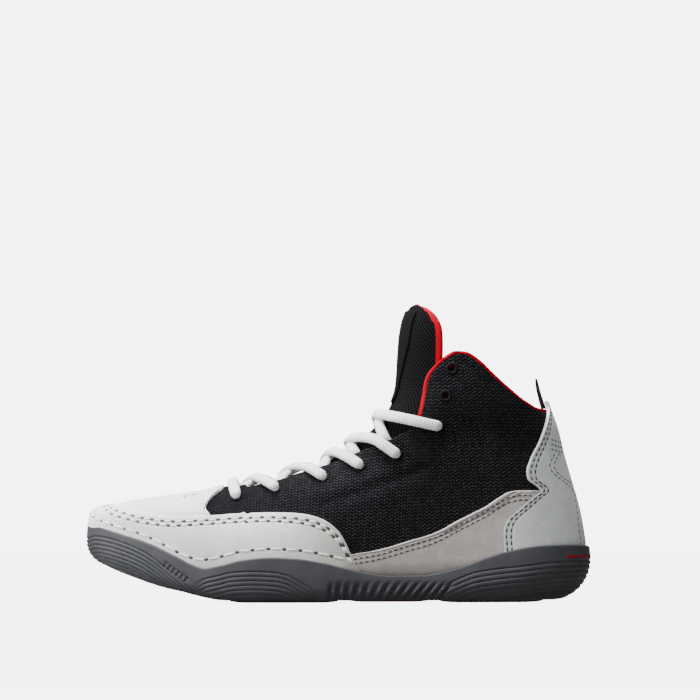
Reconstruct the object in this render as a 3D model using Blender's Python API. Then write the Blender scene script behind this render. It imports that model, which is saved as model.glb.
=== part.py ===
"""A left high-top wrestling shoe, standing empty on its sole.

The toe points to -X, the lateral side faces -Y, and +Z is up. The origin is on the floor, under the middle
of the shoe. Every piece that follows the foot is worked out from one form, the last. A place on the last is
given by its rib and its share of that rib. A rib runs from the feather line, where upper and sole meet, up
to the edge of the throat or the collar. Ribs are numbered from 0 at the toe tip to 1 at the back of the
heel, negative on the lateral side and positive on the medial side.
"""

import math

import bmesh
import bpy
import numpy as np
from mathutils import Vector

MM = 0.001

# Overall sizes of the shoe.
LENGTH = 290 * MM
BALL_WIDTH = 93 * MM
SHAFT_WIDTH = 75 * MM
COLLAR_HEIGHT = 144.5 * MM
TONGUE_HEIGHT = 175.2 * MM

# Walls and clearances.
WALL = 2.6 * MM
OVERLAY = 1.2 * MM
CLEARANCE = 0.3 * MM
CURVED_CLEARANCE = 0.7 * MM
TONGUE_THICKNESS = 5.0 * MM
INSOLE_THICKNESS = 4.0 * MM
LABEL_THICKNESS = 0.9 * MM

# The sole.
TOE_RIM_HEIGHT = 45.0 * MM
RIM_THICKNESS = 1.1 * MM
WALL_BULGE = 0.8 * MM
GROOVE_DEPTH = 1.1 * MM
GROOVE_ROWS = 5
PAD_THICKNESS = 1.1 * MM
LUG_DEPTH = 0.7 * MM
LUG_PITCH = 9.5 * MM
PAD_INSET = 3.0 * MM

# Lacing.
LACE_WIDTH = 6.4 * MM
LACE_THICKNESS = 2.8 * MM
EYELET_HOLE = 1.9 * MM
EYELET_RING = 3.5 * MM
RING_THICKNESS = 0.7 * MM

# The pull tab.
TAB_WIDTH = 13.0 * MM
TAB_THICKNESS = 1.6 * MM
TAB_RISE = 17.5 * MM
TAB_LEAN = 5.0 * MM

# How far apart the pieces' ribs are, round toe and heel and along the sides.
BEND_SPACING = 7.5 * MM
SIDE_SPACING = 11.0 * MM

# How the last is built.
THROAT_BASE = 0.269
THROAT_CENTRE = 0.317
TOE_TIP = 0.0155
TOE_CLOSING = 0.24
HEEL_CLOSING = 42 * MM
SHIN_CLOSING = 45 * MM
FEATHER_TUCK = 5.0 * MM
SHOULDER_RISE = 14.0 * MM
SECTION_POWER = 2.2
TOE_POWER = 8.0
INSTEP_FROM = 0.555
INSTEP_SLOPE = 1.3
PLAN_POWER = 2.2
SHAFT_FROM = 0.55
SHAFT_TO = 0.80
WAIST_FROM = 0.28
WAIST_TO = 0.85

# Shares of LENGTH from the toe, and of BALL_WIDTH. The centre is where the middle of the foot lies.
PLAN = (
    # along, centre, half_width
    (0.00, 0.100, 0.460),
    (0.10, 0.085, 0.480),
    (0.20, 0.045, 0.498),
    (0.28, 0.010, 0.500),
    (0.36, -0.012, 0.490),
    (0.45, -0.030, 0.452),
    (0.55, -0.036, 0.404),
    (0.65, -0.026, 0.372),
    (0.75, -0.010, 0.362),
    (0.85, 0.000, 0.365),
    (1.00, 0.000, 0.360),
)

# The top line of the closed foot and shin, seen from the side. Shares of LENGTH and of COLLAR_HEIGHT.
RIDGE = (
    # along, height
    (0.0000, 0.378),
    (0.0655, 0.394),
    (0.1276, 0.411),
    (0.1900, 0.425),
    (0.2380, 0.440),
    (0.2690, 0.456),
    (0.3445, 0.498),
    (0.4238, 0.543),
    (0.4690, 0.578),
    (0.5070, 0.623),
    (0.5386, 0.671),
    (0.5700, 0.732),
    (0.5914, 0.795),
    (0.6020, 0.865),
    (0.6059, 0.980),
    (0.6086, 1.052),
    (0.6138, 1.114),
    (0.6228, 1.166),
    (0.6340, 1.196),
    (0.6480, 1.216),
)

# The back of the heel, seen from the side. Shares of COLLAR_HEIGHT and of LENGTH.
HEEL = (
    # height, along
    (0.00, 0.9740),
    (0.08, 0.9790),
    (0.16, 0.9845),
    (0.22, 0.9860),
    (0.28, 0.9825),
    (0.35, 0.9755),
    (0.47, 0.9595),
    (0.58, 0.9435),
    (0.69, 0.9300),
    (0.757, 0.9180),
    (0.85, 0.9030),
    (1.22, 0.8580),
)

# The edge of throat and collar, from the corner of the throat to the back. Shares as for RIDGE.
TOP_EDGE = (
    # along, height
    (0.3170, 0.4590),
    (0.3380, 0.4650),
    (0.3780, 0.4860),
    (0.4240, 0.5120),
    (0.4670, 0.5420),
    (0.5130, 0.5740),
    (0.5520, 0.6090),
    (0.5940, 0.6400),
    (0.6240, 0.6700),
    (0.6440, 0.6960),
    (0.6560, 0.7410),
    (0.6630, 0.8050),
    (0.6700, 0.8840),
    (0.6840, 0.9310),
    (0.7100, 0.9750),
    (0.7330, 0.9990),
    (0.7530, 0.9950),
    (0.7770, 0.9670),
    (0.8080, 0.9080),
    (0.8400, 0.8500),
    (0.8720, 0.7990),
    (0.9000, 0.7700),
    (0.9180, 0.7650),
)

# The sole seen from the side. Shares of LENGTH, and of TOE_RIM_HEIGHT for the rubber's upper edge, the
# underside, the floor inside and the top of the grooved band. Roll is how far the lower edge is rounded in.
SOLE = (
    # along, rim, underside, floor, band, roll
    (0.000, 1.000, 0.640, 0.735, 0.900, 0.24),
    (0.038, 0.925, 0.489, 0.625, 0.900, 0.22),
    (0.070, 0.865, 0.387, 0.525, 0.850, 0.19),
    (0.112, 0.790, 0.284, 0.410, 0.780, 0.16),
    (0.135, 0.720, 0.232, 0.358, 0.640, 0.14),
    (0.162, 0.615, 0.182, 0.305, 0.450, 0.13),
    (0.190, 0.520, 0.144, 0.262, 0.260, 0.12),
    (0.213, 0.460, 0.105, 0.228, 0.130, 0.12),
    (0.240, 0.438, 0.064, 0.195, 0.330, 0.12),
    (0.270, 0.480, 0.035, 0.170, 0.560, 0.12),
    (0.310, 0.545, 0.029, 0.160, 0.660, 0.12),
    (0.365, 0.578, 0.029, 0.160, 0.660, 0.12),
    (0.420, 0.560, 0.029, 0.170, 0.430, 0.12),
    (0.460, 0.520, 0.029, 0.180, 0.100, 0.12),
    (0.540, 0.408, 0.029, 0.195, 0.080, 0.12),
    (0.600, 0.362, 0.029, 0.210, 0.080, 0.12),
    (0.665, 0.366, 0.029, 0.225, 0.120, 0.13),
    (0.700, 0.400, 0.029, 0.233, 0.420, 0.14),
    (0.750, 0.480, 0.029, 0.243, 0.630, 0.16),
    (0.800, 0.590, 0.029, 0.252, 0.770, 0.20),
    (0.850, 0.680, 0.029, 0.260, 0.840, 0.27),
    (0.900, 0.728, 0.029, 0.265, 0.880, 0.36),
    (0.950, 0.735, 0.029, 0.265, 0.880, 0.44),
    (1.000, 0.700, 0.029, 0.265, 0.860, 0.46),
)

# Edges of the suede pieces, seen from the side. Shares of LENGTH and of COLLAR_HEIGHT.
GUARD_EDGE = (
    # along, height
    (0.020, 0.420),
    (0.040, 0.390),
    (0.056, 0.378),
    (0.085, 0.372),
    (0.127, 0.358),
    (0.187, 0.346),
    (0.247, 0.350),
    (0.305, 0.359),
    (0.354, 0.363),
    (0.404, 0.361),
    (0.434, 0.355),
    (0.467, 0.336),
    (0.493, 0.307),
    (0.513, 0.268),
    (0.527, 0.228),
    (0.540, 0.180),
    (0.560, 0.120),
    (0.580, 0.040),
)
PANEL_EDGE = (
    # along, height
    (0.515, 0.215),
    (0.543, 0.222),
    (0.602, 0.236),
    (0.662, 0.266),
    (0.721, 0.323),
    (0.781, 0.389),
    (0.806, 0.428),
    (0.836, 0.452),
    (0.860, 0.456),
    (0.900, 0.449),
)
VAMP_EDGE = (
    # height, along
    (0.345, 0.2480),
    (0.372, 0.2440),
    (0.400, 0.2450),
    (0.425, 0.2540),
    (0.445, 0.2650),
    (0.460, 0.2690),
)
VAMP_CORNER = (0.2440, 0.360)
COUNTER_EDGE = (
    # height, along
    (0.060, 0.8280),
    (0.200, 0.8260),
    (0.275, 0.8240),
    (0.320, 0.8300),
    (0.370, 0.8560),
    (0.420, 0.8850),
    (0.443, 0.8985),
    (0.462, 0.8900),
    (0.490, 0.8730),
    (0.520, 0.8710),
    (0.560, 0.8770),
    (0.640, 0.8960),
    (0.720, 0.9100),
    (0.770, 0.9140),
    (0.800, 0.9125),
)
COUNTER_TOP = 0.798

# Eyelets from the toe up to the collar, seen from the side. Shares as for RIDGE.
EYELETS = (
    # along, height
    (0.2985, 0.418),
    (0.3740, 0.449),
    (0.4700, 0.497),
    (0.5430, 0.543),
    (0.6150, 0.588),
    (0.6970, 0.698),
    (0.7120, 0.821),
    (0.7245, 0.929),
)
LACED_ROWS = 6

# The tongue from its sewn end to its tip, along the ridge line. Half is its half width in shares of
# BALL_WIDTH, and full its thickness in shares of TONGUE_THICKNESS.
TONGUE = (
    # along, half, full
    (0.00, 0.215, 0.50),
    (0.20, 0.245, 0.55),
    (0.40, 0.290, 0.70),
    (0.55, 0.390, 0.90),
    (0.75, 0.480, 1.00),
    (0.87, 0.480, 1.00),
    (0.93, 0.440, 0.95),
    (0.975, 0.360, 0.85),
    (1.00, 0.250, 0.60),
)
TONGUE_START = 0.255


def table_curve(rows, column):
    """A smooth curve through one column of a table, with no overshoot between its rows."""
    places = np.array([row[0] for row in rows], float)
    values = np.array([row[column] for row in rows], float)
    steps = np.diff(places)
    slopes = np.diff(values) / steps
    tangents = np.empty_like(values)
    tangents[0], tangents[-1] = slopes[0], slopes[-1]
    for i in range(1, len(values) - 1):
        before, after = slopes[i - 1], slopes[i]
        same_way = before * after > 0
        tangents[i] = 2 * before * after / (before + after) if same_way else 0.0

    def value(place):
        place = np.asarray(place, float)
        i = np.clip(np.searchsorted(places, place) - 1, 0, len(steps) - 1)
        t = (place - places[i]) / steps[i]
        inside = np.clip(t, 0, 1)
        outside = (t - inside) * steps[i] * np.where(t < 0, tangents[i], tangents[i + 1])
        rise = inside * inside * (3 - 2 * inside)
        bend = inside * (1 - inside) * steps[i]
        return (
            values[i] * (1 - rise)
            + values[i + 1] * rise
            + bend * ((1 - inside) * tangents[i] - inside * tangents[i + 1])
            + outside
        )

    return value


def swapped(rows):
    return tuple((second, first) for first, second in rows)


def ease(t):
    t = np.clip(t, 0, 1)
    return t * t * (3 - 2 * t)


def along(share):
    """The X of a share of the length, from the toe."""
    return (share - 0.5) * LENGTH


def share_along(x):
    return x / LENGTH + 0.5


plan_centre = table_curve(PLAN, 1)
plan_half = table_curve(PLAN, 2)
ridge_by_place = table_curve(RIDGE, 1)
ridge_by_height = table_curve(swapped(RIDGE), 1)
heel_line = table_curve(HEEL, 1)
sole_rim = table_curve(SOLE, 1)
sole_underside = table_curve(SOLE, 2)
sole_floor = table_curve(SOLE, 3)
sole_band = table_curve(SOLE, 4)
sole_roll = table_curve(SOLE, 5)


def centre_y(x):
    return plan_centre(share_along(x)) * BALL_WIDTH


def ridge_height(x):
    return ridge_by_place(share_along(x)) * COLLAR_HEIGHT


def ridge_share(z):
    """The RIDGE table's share of a height: its part above the collar ends at the tongue's top."""
    over = (z - COLLAR_HEIGHT) / (TONGUE_HEIGHT - COLLAR_HEIGHT) * (RIDGE[-1][1] - 1)
    return np.where(z > COLLAR_HEIGHT, 1 + over, z / COLLAR_HEIGHT)


def height_of(share):
    """The height of a share of the RIDGE table, the other way about."""
    over = (share - 1) / (RIDGE[-1][1] - 1) * (TONGUE_HEIGHT - COLLAR_HEIGHT)
    return np.where(share > 1, COLLAR_HEIGHT + over, share * COLLAR_HEIGHT)


def shin_x(z):
    return along(ridge_by_height(ridge_share(z)))


def heel_x(z):
    return along(heel_line(z / COLLAR_HEIGHT))


def floor_height(x):
    return sole_floor(share_along(x)) * TOE_RIM_HEIGHT


def shoulder_height(x):
    return floor_height(x) + SHOULDER_RISE


def rounding(share, power):
    """How full a form still is at this share of the way to where it closes."""
    return (1 - np.clip(share, 0, 1) ** power) ** (1 / power)


def foot_half(x):
    """Half the width of the foot at its shoulder, closed in at the toe."""
    start = along(TOE_TIP + TOE_CLOSING)
    closing = rounding((start - x) / (TOE_CLOSING * LENGTH), PLAN_POWER)
    return plan_half(share_along(x)) * BALL_WIDTH * closing


def foot_ridge(x):
    """The top of the foot, which runs on under the shin at an even slope."""
    start = along(INSTEP_FROM)
    return np.minimum(ridge_height(x), ridge_height(start) + INSTEP_SLOPE * np.maximum(x - start, 0))


def half_width(x, z):
    """Half the width of the closed foot and shin at a place seen from the side."""
    share = z / COLLAR_HEIGHT
    shoulder = shoulder_height(x)
    up = (z - shoulder) / (foot_ridge(x) - shoulder)
    over_foot = rounding(up, SECTION_POWER)
    shin = shin_x(np.maximum(z, shoulder))
    over_shin = rounding((shin + SHIN_CLOSING - x) / SHIN_CLOSING, SECTION_POWER)
    shaft = ease((share - SHAFT_FROM) / (SHAFT_TO - SHAFT_FROM))
    waist = ease((share - WAIST_FROM) / (WAIST_TO - WAIST_FROM))
    width = foot_half(x) * (1 - waist) + SHAFT_WIDTH / 2 * waist
    back = heel_x(z)
    at_heel = rounding((x - back + HEEL_CLOSING) / HEEL_CLOSING, PLAN_POWER)
    full = width * at_heel * (over_foot * (1 - shaft) + over_shin * shaft)
    low = np.clip((shoulder - z) / SHOULDER_RISE, 0, 1)
    return np.maximum(full - FEATHER_TUCK * low**2 * at_heel, 0)


def arc_shares(points):
    steps = np.linalg.norm(np.diff(points, axis=0), axis=1)
    lengths = np.concatenate(([0.0], np.cumsum(steps)))
    return lengths / lengths[-1]


def resampled(points, shares):
    """Points at these shares of a line's length."""
    at = arc_shares(points)
    return np.stack([np.interp(shares, at, points[:, k]) for k in range(3)], axis=1)


class Last:
    """The form that the shoe is built on, as ribs from the feather line to the edge of throat and collar."""

    RIBS = 240
    ROWS = 90

    def __init__(self):
        halves = {side: self.half(side) for side in (-1, 1)}
        lateral = halves[-1][::-1]
        self.points = np.concatenate([lateral, halves[1][1:]])
        self.places = np.linspace(-1, 1, len(self.points))
        self.shares = np.linspace(0, 1, self.ROWS)
        around = np.concatenate([self.points[-2:-1], self.points, self.points[1:2]])
        across = around[2:] - around[:-2]
        upwards = np.gradient(self.points, axis=1)
        normals = np.cross(upwards, across)
        self.normals = normals / np.linalg.norm(normals, axis=2, keepdims=True)

    def half(self, side):
        """The ribs of one side, from the toe tip to the back of the heel."""
        outline = self.outline(side)
        top_edge = self.top_edge(side)
        at = arc_shares(outline)
        corner = np.interp(along(THROAT_CENTRE), outline[:, 0], at)
        ribs = []
        for place in np.linspace(0, 1, self.RIBS + 1):
            foot = resampled(outline, [place])[0]
            if place <= corner:
                rib = self.toe_rib(foot)
            else:
                top = resampled(top_edge, [(place - corner) / (1 - corner)])[0]
                rib = self.side_rib(foot[0], top, side)
            ribs.append(resampled(rib, np.linspace(0, 1, self.ROWS)))
        return np.array(ribs)

    def outline(self, side):
        """The widest line round the foot, with its points close together where it turns."""
        turn = np.linspace(0, math.pi, 600)
        first, last = along(TOE_TIP), heel_x(0.22 * COLLAR_HEIGHT)
        x = first + (last - first) * (1 - np.cos(turn)) / 2
        z = shoulder_height(x)
        y = centre_y(x) + side * half_width(x, np.minimum(z, heel_reach(x)))
        y[0], y[-1] = centre_y(x[0]), centre_y(x[-1])
        return np.stack([x, y, z], axis=1)

    def top_edge(self, side):
        height = table_curve(TOP_EDGE, 1)
        first, last = TOP_EDGE[0][0], TOP_EDGE[-1][0]
        turn = np.linspace(0, math.pi / 2, 600)
        share = first + (last - first) * np.sin(turn)
        x, z = along(share), height(share) * COLLAR_HEIGHT
        x = np.minimum(x, heel_x(z))
        x[-1] = heel_x(z[-1])
        y = centre_y(x) + side * half_width(x, z)
        return np.stack([x, y, z], axis=1)

    def toe_rib(self, foot):
        """A rib that rises from the toe and runs in towards the middle of the throat's round end."""
        middle = np.array([along(THROAT_CENTRE), centre_y(along(THROAT_CENTRE))])
        arm = foot[:2] - middle
        reach = np.linalg.norm(arm)
        shoulder = shoulder_height(foot[0])
        low = np.linspace(1, 0, 30) ** 1.0
        wall_plan = foot[:2] - arm / reach * FEATHER_TUCK * low[:, None] ** 2
        bottom = floor_height(wall_plan[0, 0]) + CLEARANCE
        wall_height = shoulder + (bottom - shoulder) * low
        gap = throat_half()
        inward = 1 - (1 - gap / reach) * np.sin(np.linspace(0, math.pi / 2, 160)) ** 2
        plan = middle + arm * inward[:, None]
        forward = max(0.0, -arm[0]) / reach
        rise = TOE_POWER * forward**3 + SECTION_POWER * (1 - forward**3)
        full = (1 - inward**SECTION_POWER) ** (1 / rise)
        height = shoulder + (ridge_height(plan[:, 0]) - shoulder) * full
        wall = np.column_stack([wall_plan, wall_height])
        dome = np.column_stack([plan, height])
        return np.concatenate([wall, dome[1:]])

    def side_rib(self, foot_x, top, side):
        """A rib that rises from the side or the heel, leaning so that it ends at its place on the top edge."""
        bottom = floor_height(foot_x) + CLEARANCE
        z = bottom + (top[2] - bottom) * np.sin(np.linspace(0, math.pi / 2, 200))
        up = (z - bottom) / (top[2] - bottom)
        heel_foot, heel_top = heel_x(bottom), heel_x(top[2])
        start = min(foot_x, heel_x(0.22 * COLLAR_HEIGHT))
        behind = ease((start - heel_foot + 2 * HEEL_CLOSING) / (2 * HEEL_CLOSING))
        back = heel_x(0.22 * COLLAR_HEIGHT)
        near = start - back + heel_foot if behind > 0.999 else start - (back - heel_foot) * behind
        straight = near + (top[0] - near) * up
        heel_straight = heel_foot + (heel_top - heel_foot) * up
        x = straight + behind * (heel_x(z) - heel_straight)
        x = np.minimum(x, heel_x(z))
        y = centre_y(x) + side * half_width(x, z)
        return np.column_stack([x, y, z])

    def skin(self, place, share, offset=0.0):
        """The point on a rib at a share of its length, moved out along the surface's normal."""
        place, share = np.broadcast_arrays(np.asarray(place, float), np.asarray(share, float))
        beyond = np.maximum(share - 1, 0)[..., None]
        inside = np.clip(share, 0, 1)
        i = np.clip(np.searchsorted(self.places, place) - 1, 0, len(self.places) - 2)
        j = np.clip((inside * (self.ROWS - 1)).astype(int), 0, self.ROWS - 2)
        a = ((place - self.places[i]) / (self.places[i + 1] - self.places[i]))[..., None]
        b = (inside * (self.ROWS - 1) - j)[..., None]

        def mixed(grid):
            low = grid[i, j] * (1 - a) + grid[i + 1, j] * a
            high = grid[i, j + 1] * (1 - a) + grid[i + 1, j + 1] * a
            return low * (1 - b) + high * b, (high - low) * (self.ROWS - 1)

        point, rising = mixed(self.points)
        normal, _ = mixed(self.normals)
        return point + rising * beyond + normal * offset

    def share_at_height(self, place, z):
        """The share of a rib that lies at a height, past 1 where the rib ends lower."""
        line = self.skin(place, self.shares)[:, 2]
        if z > line[-1]:
            step = line[-1] - line[-2]
            return 1 + (z - line[-1]) / step / (self.ROWS - 1)
        return float(np.interp(z, line, self.shares))

    def place_at(self, x, z, side):
        """The rib that passes a place seen from the side."""
        before, reached = 1.0, self.skin(side, self.share_at_height(side, z))[0]
        for place in np.linspace(1, 0.02, 200)[1:]:
            found = self.skin(side * place, self.share_at_height(side * place, z))[0]
            if found <= x:
                t = (x - found) / max(reached - found, 1e-9)
                return side * (place + (before - place) * min(t, 1))
            before, reached = place, found
        return side * before


def heel_reach(x):
    """The height at which the heel still reaches this far back."""
    return np.where(x > along(0.95), 0.22 * COLLAR_HEIGHT, shoulder_height(x))


def throat_half():
    """Half the width of the throat at its round end."""
    return (THROAT_CENTRE - THROAT_BASE) * LENGTH


last = Last()


def material(name, colour, roughness):
    made = bpy.data.materials.new(name)
    made.use_nodes = True
    shader = made.node_tree.nodes["Principled BSDF"]
    shader.inputs["Base Color"].default_value = (*colour, 1)
    shader.inputs["Roughness"].default_value = roughness
    shader.inputs["Metallic"].default_value = 0.0
    return made


def add_object(name, points, faces, finish):
    mesh = bpy.data.meshes.new(name)
    mesh.from_pydata([tuple(p) for p in points], [], faces)
    work = bmesh.new()
    work.from_mesh(mesh)
    bmesh.ops.remove_doubles(work, verts=work.verts, dist=1e-6)
    bmesh.ops.recalc_face_normals(work, faces=work.faces)
    work.to_mesh(mesh)
    work.free()
    mesh.materials.append(finish)
    mesh.shade_smooth()
    mesh.set_sharp_from_angle(angle=math.radians(40))
    made = bpy.data.objects.new(name, mesh)
    bpy.context.scene.collection.objects.link(made)
    return made


def quads_between(first, second, closed):
    """Faces between two lines of point numbers. Equal numbers make a triangle."""
    count = len(first) if closed else len(first) - 1
    faces = []
    for i in range(count):
        k = (i + 1) % len(first)
        corners = [first[i], first[k], second[k], second[i]]
        single = [c for n, c in enumerate(corners) if c != corners[n - 1]]
        if len(single) > 2:
            faces.append(single)
    return faces


def ring_solid(name, rows, finish, low_spine=None, high_spine=None):
    """A solid of rings round the shoe, closed on itself or on a line of points down its middle."""
    count = len(rows[0])
    points = [p for row in rows for p in row]
    numbers = [list(range(k * count, (k + 1) * count)) for k in range(len(rows))]
    lines = list(numbers)
    half = count // 2
    pairing = [min(i, count - i) for i in range(count)]
    for spine, at_start in ((low_spine, True), (high_spine, False)):
        if spine is None:
            continue
        first = len(points)
        points.extend(spine[: half + 1])
        line = [first + pairing[i] for i in range(count)]
        lines = [line, *lines] if at_start else [*lines, line]
    faces = []
    for first, second in zip(lines, lines[1:]):
        faces += quads_between(first, second, True)
    if low_spine is None:
        faces += quads_between(lines[-1], lines[0], True)
    return add_object(name, points, faces, finish)


def slab(name, outer, inner, finish):
    """A solid between two grids of points that lie over each other."""
    rows, columns = outer.shape[:2]
    points = np.concatenate([outer.reshape(-1, 3), inner.reshape(-1, 3)])
    top = np.arange(rows * columns).reshape(rows, columns)
    under = top + rows * columns
    faces = []
    for i in range(rows - 1):
        faces += quads_between(list(top[i]), list(top[i + 1]), False)
        faces += quads_between(list(under[i + 1]), list(under[i]), False)
    for edge, below in (
        (top[0], under[0]),
        (top[-1], under[-1]),
        (top[:, 0], under[:, 0]),
        (top[:, -1], under[:, -1]),
    ):
        faces += quads_between(list(edge), list(below), False)
    return add_object(name, points, faces, finish)


def stations():
    """The ribs that all pieces share, closer together round the toe and the heel."""
    fine = np.linspace(0, 1, 400)
    outline = last.skin(fine, 0.2)
    steps = np.linalg.norm(np.diff(outline, axis=0), axis=1)
    share = share_along(outline[:-1, 0])
    bent = (share < 0.15) | (share > 0.86)
    gone = np.concatenate(([0.0], np.cumsum(steps / np.where(bent, BEND_SPACING, SIDE_SPACING))))
    return np.interp(np.linspace(0, gone[-1], round(gone[-1]) + 1), gone, fine)


def ring_places():
    """The shared ribs right round the shoe, from the toe tip down the medial side and back."""
    medial = stations()
    return np.concatenate([medial, -medial[-2:0:-1]])


def places_between(first, final):
    """The shared ribs between two others, with both ends."""
    first, final = min(first, final), max(first, final)
    medial = stations()
    every = np.concatenate([-medial[:0:-1], medial])
    gap = 0.25 * (medial[1] - medial[0])
    inside = every[(every > first + gap) & (every < final - gap)]
    return np.concatenate([[first], inside, [final]])


def with_middles(places, ends):
    """The same ribs, with one more between two whose pieces end further apart than a station."""
    gaps = np.linalg.norm(np.diff(last.skin(places, ends), axis=0), axis=1)
    middles = (places[1:] + places[:-1]) / 2
    return np.sort(np.concatenate([places, middles[gaps > SIDE_SPACING]]))


def upper(finish):
    """The knitted bootie: one wall, open at throat and collar and underneath."""
    places = ring_places()
    rows = []
    shares = np.linspace(0, 1, 12) ** 1.4
    for offset, order in ((0.0, shares), (-WALL, shares[::-1])):
        rows += [last.skin(places, share, offset) for share in order]
    return ring_solid("upper", rows, finish)


def middle_line(edge, lift):
    """Points under the middle of the shoe, one for each pair of ribs of a ring."""
    half = len(edge) // 2
    x = np.array([(edge[i][0] + edge[-i][0]) / 2 for i in range(half + 1)])
    start, end = x.min(), x.max()
    front, rear = start + 0.12 * LENGTH, end - 0.10 * LENGTH
    inner = front + (x - start) / (end - start) * (rear - front)
    return np.column_stack([inner, centre_y(inner), lift(inner)])


def towards_middle(edge, spine, share, lift):
    """A ring part of the way from an edge to the middle line, at its own height."""
    count = len(edge)
    pairing = [min(i, count - i) for i in range(count)]
    ring = edge * (1 - share) + spine[pairing] * share
    ring[:, 2] = lift(ring[:, 0])
    return ring


def underside_height(x):
    return sole_underside(share_along(x)) * TOE_RIM_HEIGHT


def rim_ring(places, offset):
    """The line of the rubber's upper edge, at some distance out from the last."""
    feet = last.skin(places, 0.1)
    ring = []
    for place, foot in zip(places, feet):
        height = sole_rim(share_along(foot[0])) * TOE_RIM_HEIGHT
        ring.append(last.skin(place, last.share_at_height(place, height), offset))
    return np.array(ring)


def flat_normals(places, ring):
    """Level directions that point out of a ring."""
    before, after = np.roll(ring, 1, axis=0), np.roll(ring, -1, axis=0)
    way = after - before
    out = np.column_stack([-way[:, 1], way[:, 0], np.zeros(len(way))])
    out /= np.linalg.norm(out, axis=1, keepdims=True)
    centre = ring.mean(axis=0)
    sign = np.sign(((ring - centre) * out).sum())
    return out * sign


def groove_strength(share):
    """How deep the side's grooves are along the shoe: three bands, with the arch and their ends plain."""
    bands = ((-0.05, 0.205), (0.225, 0.450), (0.680, 1.05))
    fade = 0.02
    return sum(ease((share - a) / fade) * ease((b - share) / fade) for a, b in bands)


def outer_rows(rim, normals):
    """The rubber's side from its lower edge to its upper edge, grooved along three bands."""
    share = share_along(rim[:, 0])
    top = rim[:, 2]
    roll_in = sole_roll(share) * TOE_RIM_HEIGHT
    edge = rim - normals * roll_in[:, None]
    under = underside_height(edge[:, 0])
    roll_up = np.minimum(1.2 * roll_in, 0.8 * (top - under))
    band_top = under + sole_band(share) * (top - under)
    strength = groove_strength(share) * GROOVE_DEPTH
    steps = 2 * GROOVE_ROWS
    rows = []
    for k in range(steps + 1):
        z = under + (band_top - under) * k / steps
        depth = strength * (k % 2)
        rows.append((z, depth))
    rows.append((band_top * 0.35 + top * 0.65, np.zeros_like(top)))
    made = []
    for z, depth in rows:
        low = np.clip(1 - (z - under) / roll_up, 0, 1)
        inset = roll_in * (1 - np.sqrt(1 - low**2))
        swell = WALL_BULGE * np.sin(math.pi * np.clip((z - under) / (top - under), 0, 1))
        ring = rim + normals * (swell - inset - depth)[:, None]
        ring[:, 2] = z
        made.append(ring)
    return made


def cup_offset():
    """How far the cup's inside stands off the upper, with the suede between them."""
    return OVERLAY + 2 * CURVED_CLEARANCE


def outsole(finish):
    """The rubber cup: grooved side, floor inside, and an underside that springs up at the toe."""
    places = ring_places()
    rim_in = rim_ring(places, cup_offset())
    normals = flat_normals(places, rim_in)
    rim_out = rim_in + normals * RIM_THICKNESS
    side = outer_rows(rim_out, normals)
    edge = side[0]
    low_spine = middle_line(edge, underside_height)
    bottom = [towards_middle(edge, low_spine, s, underside_height) for s in (0.6, 0.2)]
    rows = bottom + side + [rim_out, rim_in]
    for share in (0.75, 0.5, 0.25, 0.0):
        ring = []
        for place, rim in zip(places, rim_in):
            foot = last.skin(place, 0.0)
            at = last.share_at_height(place, foot[2] + (rim[2] - foot[2]) * share)
            ring.append(last.skin(place, at, cup_offset()))
        rows.append(np.array(ring))
    floor_edge = rows[-1]
    floor_edge[:, 2] = floor_height(floor_edge[:, 0])
    high_spine = middle_line(floor_edge, floor_height)
    rows += [towards_middle(floor_edge, high_spine, s, floor_height) for s in (0.2, 0.6)]
    return ring_solid("outsole", rows, finish, low_spine, high_spine)


def insole(finish):
    """The loose footbed inside the upper."""
    places = ring_places()[::2]
    inside = -(WALL + 2 * CURVED_CLEARANCE)

    def under(x):
        return floor_height(x) + CLEARANCE + 0.3 * MM

    def over(x):
        return under(x) + INSOLE_THICKNESS

    low = last.skin(places, 0.0, inside)
    low[:, 2] = under(low[:, 0])
    high = []
    for place, foot in zip(places, low):
        at = last.share_at_height(place, foot[2] + INSOLE_THICKNESS)
        high.append(last.skin(place, at, inside))
    high = np.array(high)
    high[:, 2] = over(high[:, 0])
    low_spine, high_spine = middle_line(low, under), middle_line(high, over)
    low_rows = [towards_middle(low, low_spine, s, under) for s in (0.6, 0.2)]
    high_rows = [towards_middle(high, high_spine, s, over) for s in (0.2, 0.6)]
    rows = low_rows + [low, high] + high_rows
    return ring_solid("insole", rows, finish, low_spine, high_spine)


def edge_share(place, edge):
    """Where the suede on a rib crosses an edge given by its height along the shoe, or 0 below it."""
    line = last.skin(place, last.shares, CURVED_CLEARANCE + OVERLAY)
    over = line[:, 2] - edge(share_along(line[:, 0])) * COLLAR_HEIGHT
    above = np.nonzero(over > 0)[0]
    if len(above) == 0:
        return 1.0
    k = above[0]
    if k == 0:
        return 0.0
    t = over[k - 1] / (over[k - 1] - over[k])
    return float(last.shares[k - 1] + t * (last.shares[k] - last.shares[k - 1]))


def rib_length(place):
    return np.linalg.norm(np.diff(last.skin(place, last.shares), axis=0), axis=1).sum()


def suede(name, places, low_shares, high_shares, rows, finish, thickness=OVERLAY):
    """A piece of suede over the upper between two lines, given as shares of each rib."""
    mix = np.linspace(0, 1, rows)[:, None]
    shares = np.array(low_shares) * (1 - mix) + np.array(high_shares) * mix
    places = np.broadcast_to(places, shares.shape)
    outer = last.skin(places, shares, CURVED_CLEARANCE + thickness)
    inner = last.skin(places, shares, CURVED_CLEARANCE)
    return slab(name, outer, inner, finish)


def in_cup(place):
    """The share of a rib at which a piece ends down in the cup, clear of its floor."""
    return 3.5 * MM / rib_length(place)


def guard_places(reach):
    """Ribs from the lateral to the medial end of the toe guard."""
    ends = [last.place_at(along(reach), 0.12 * COLLAR_HEIGHT, side) for side in (-1, 1)]
    return places_between(ends[0], ends[1])


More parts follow.
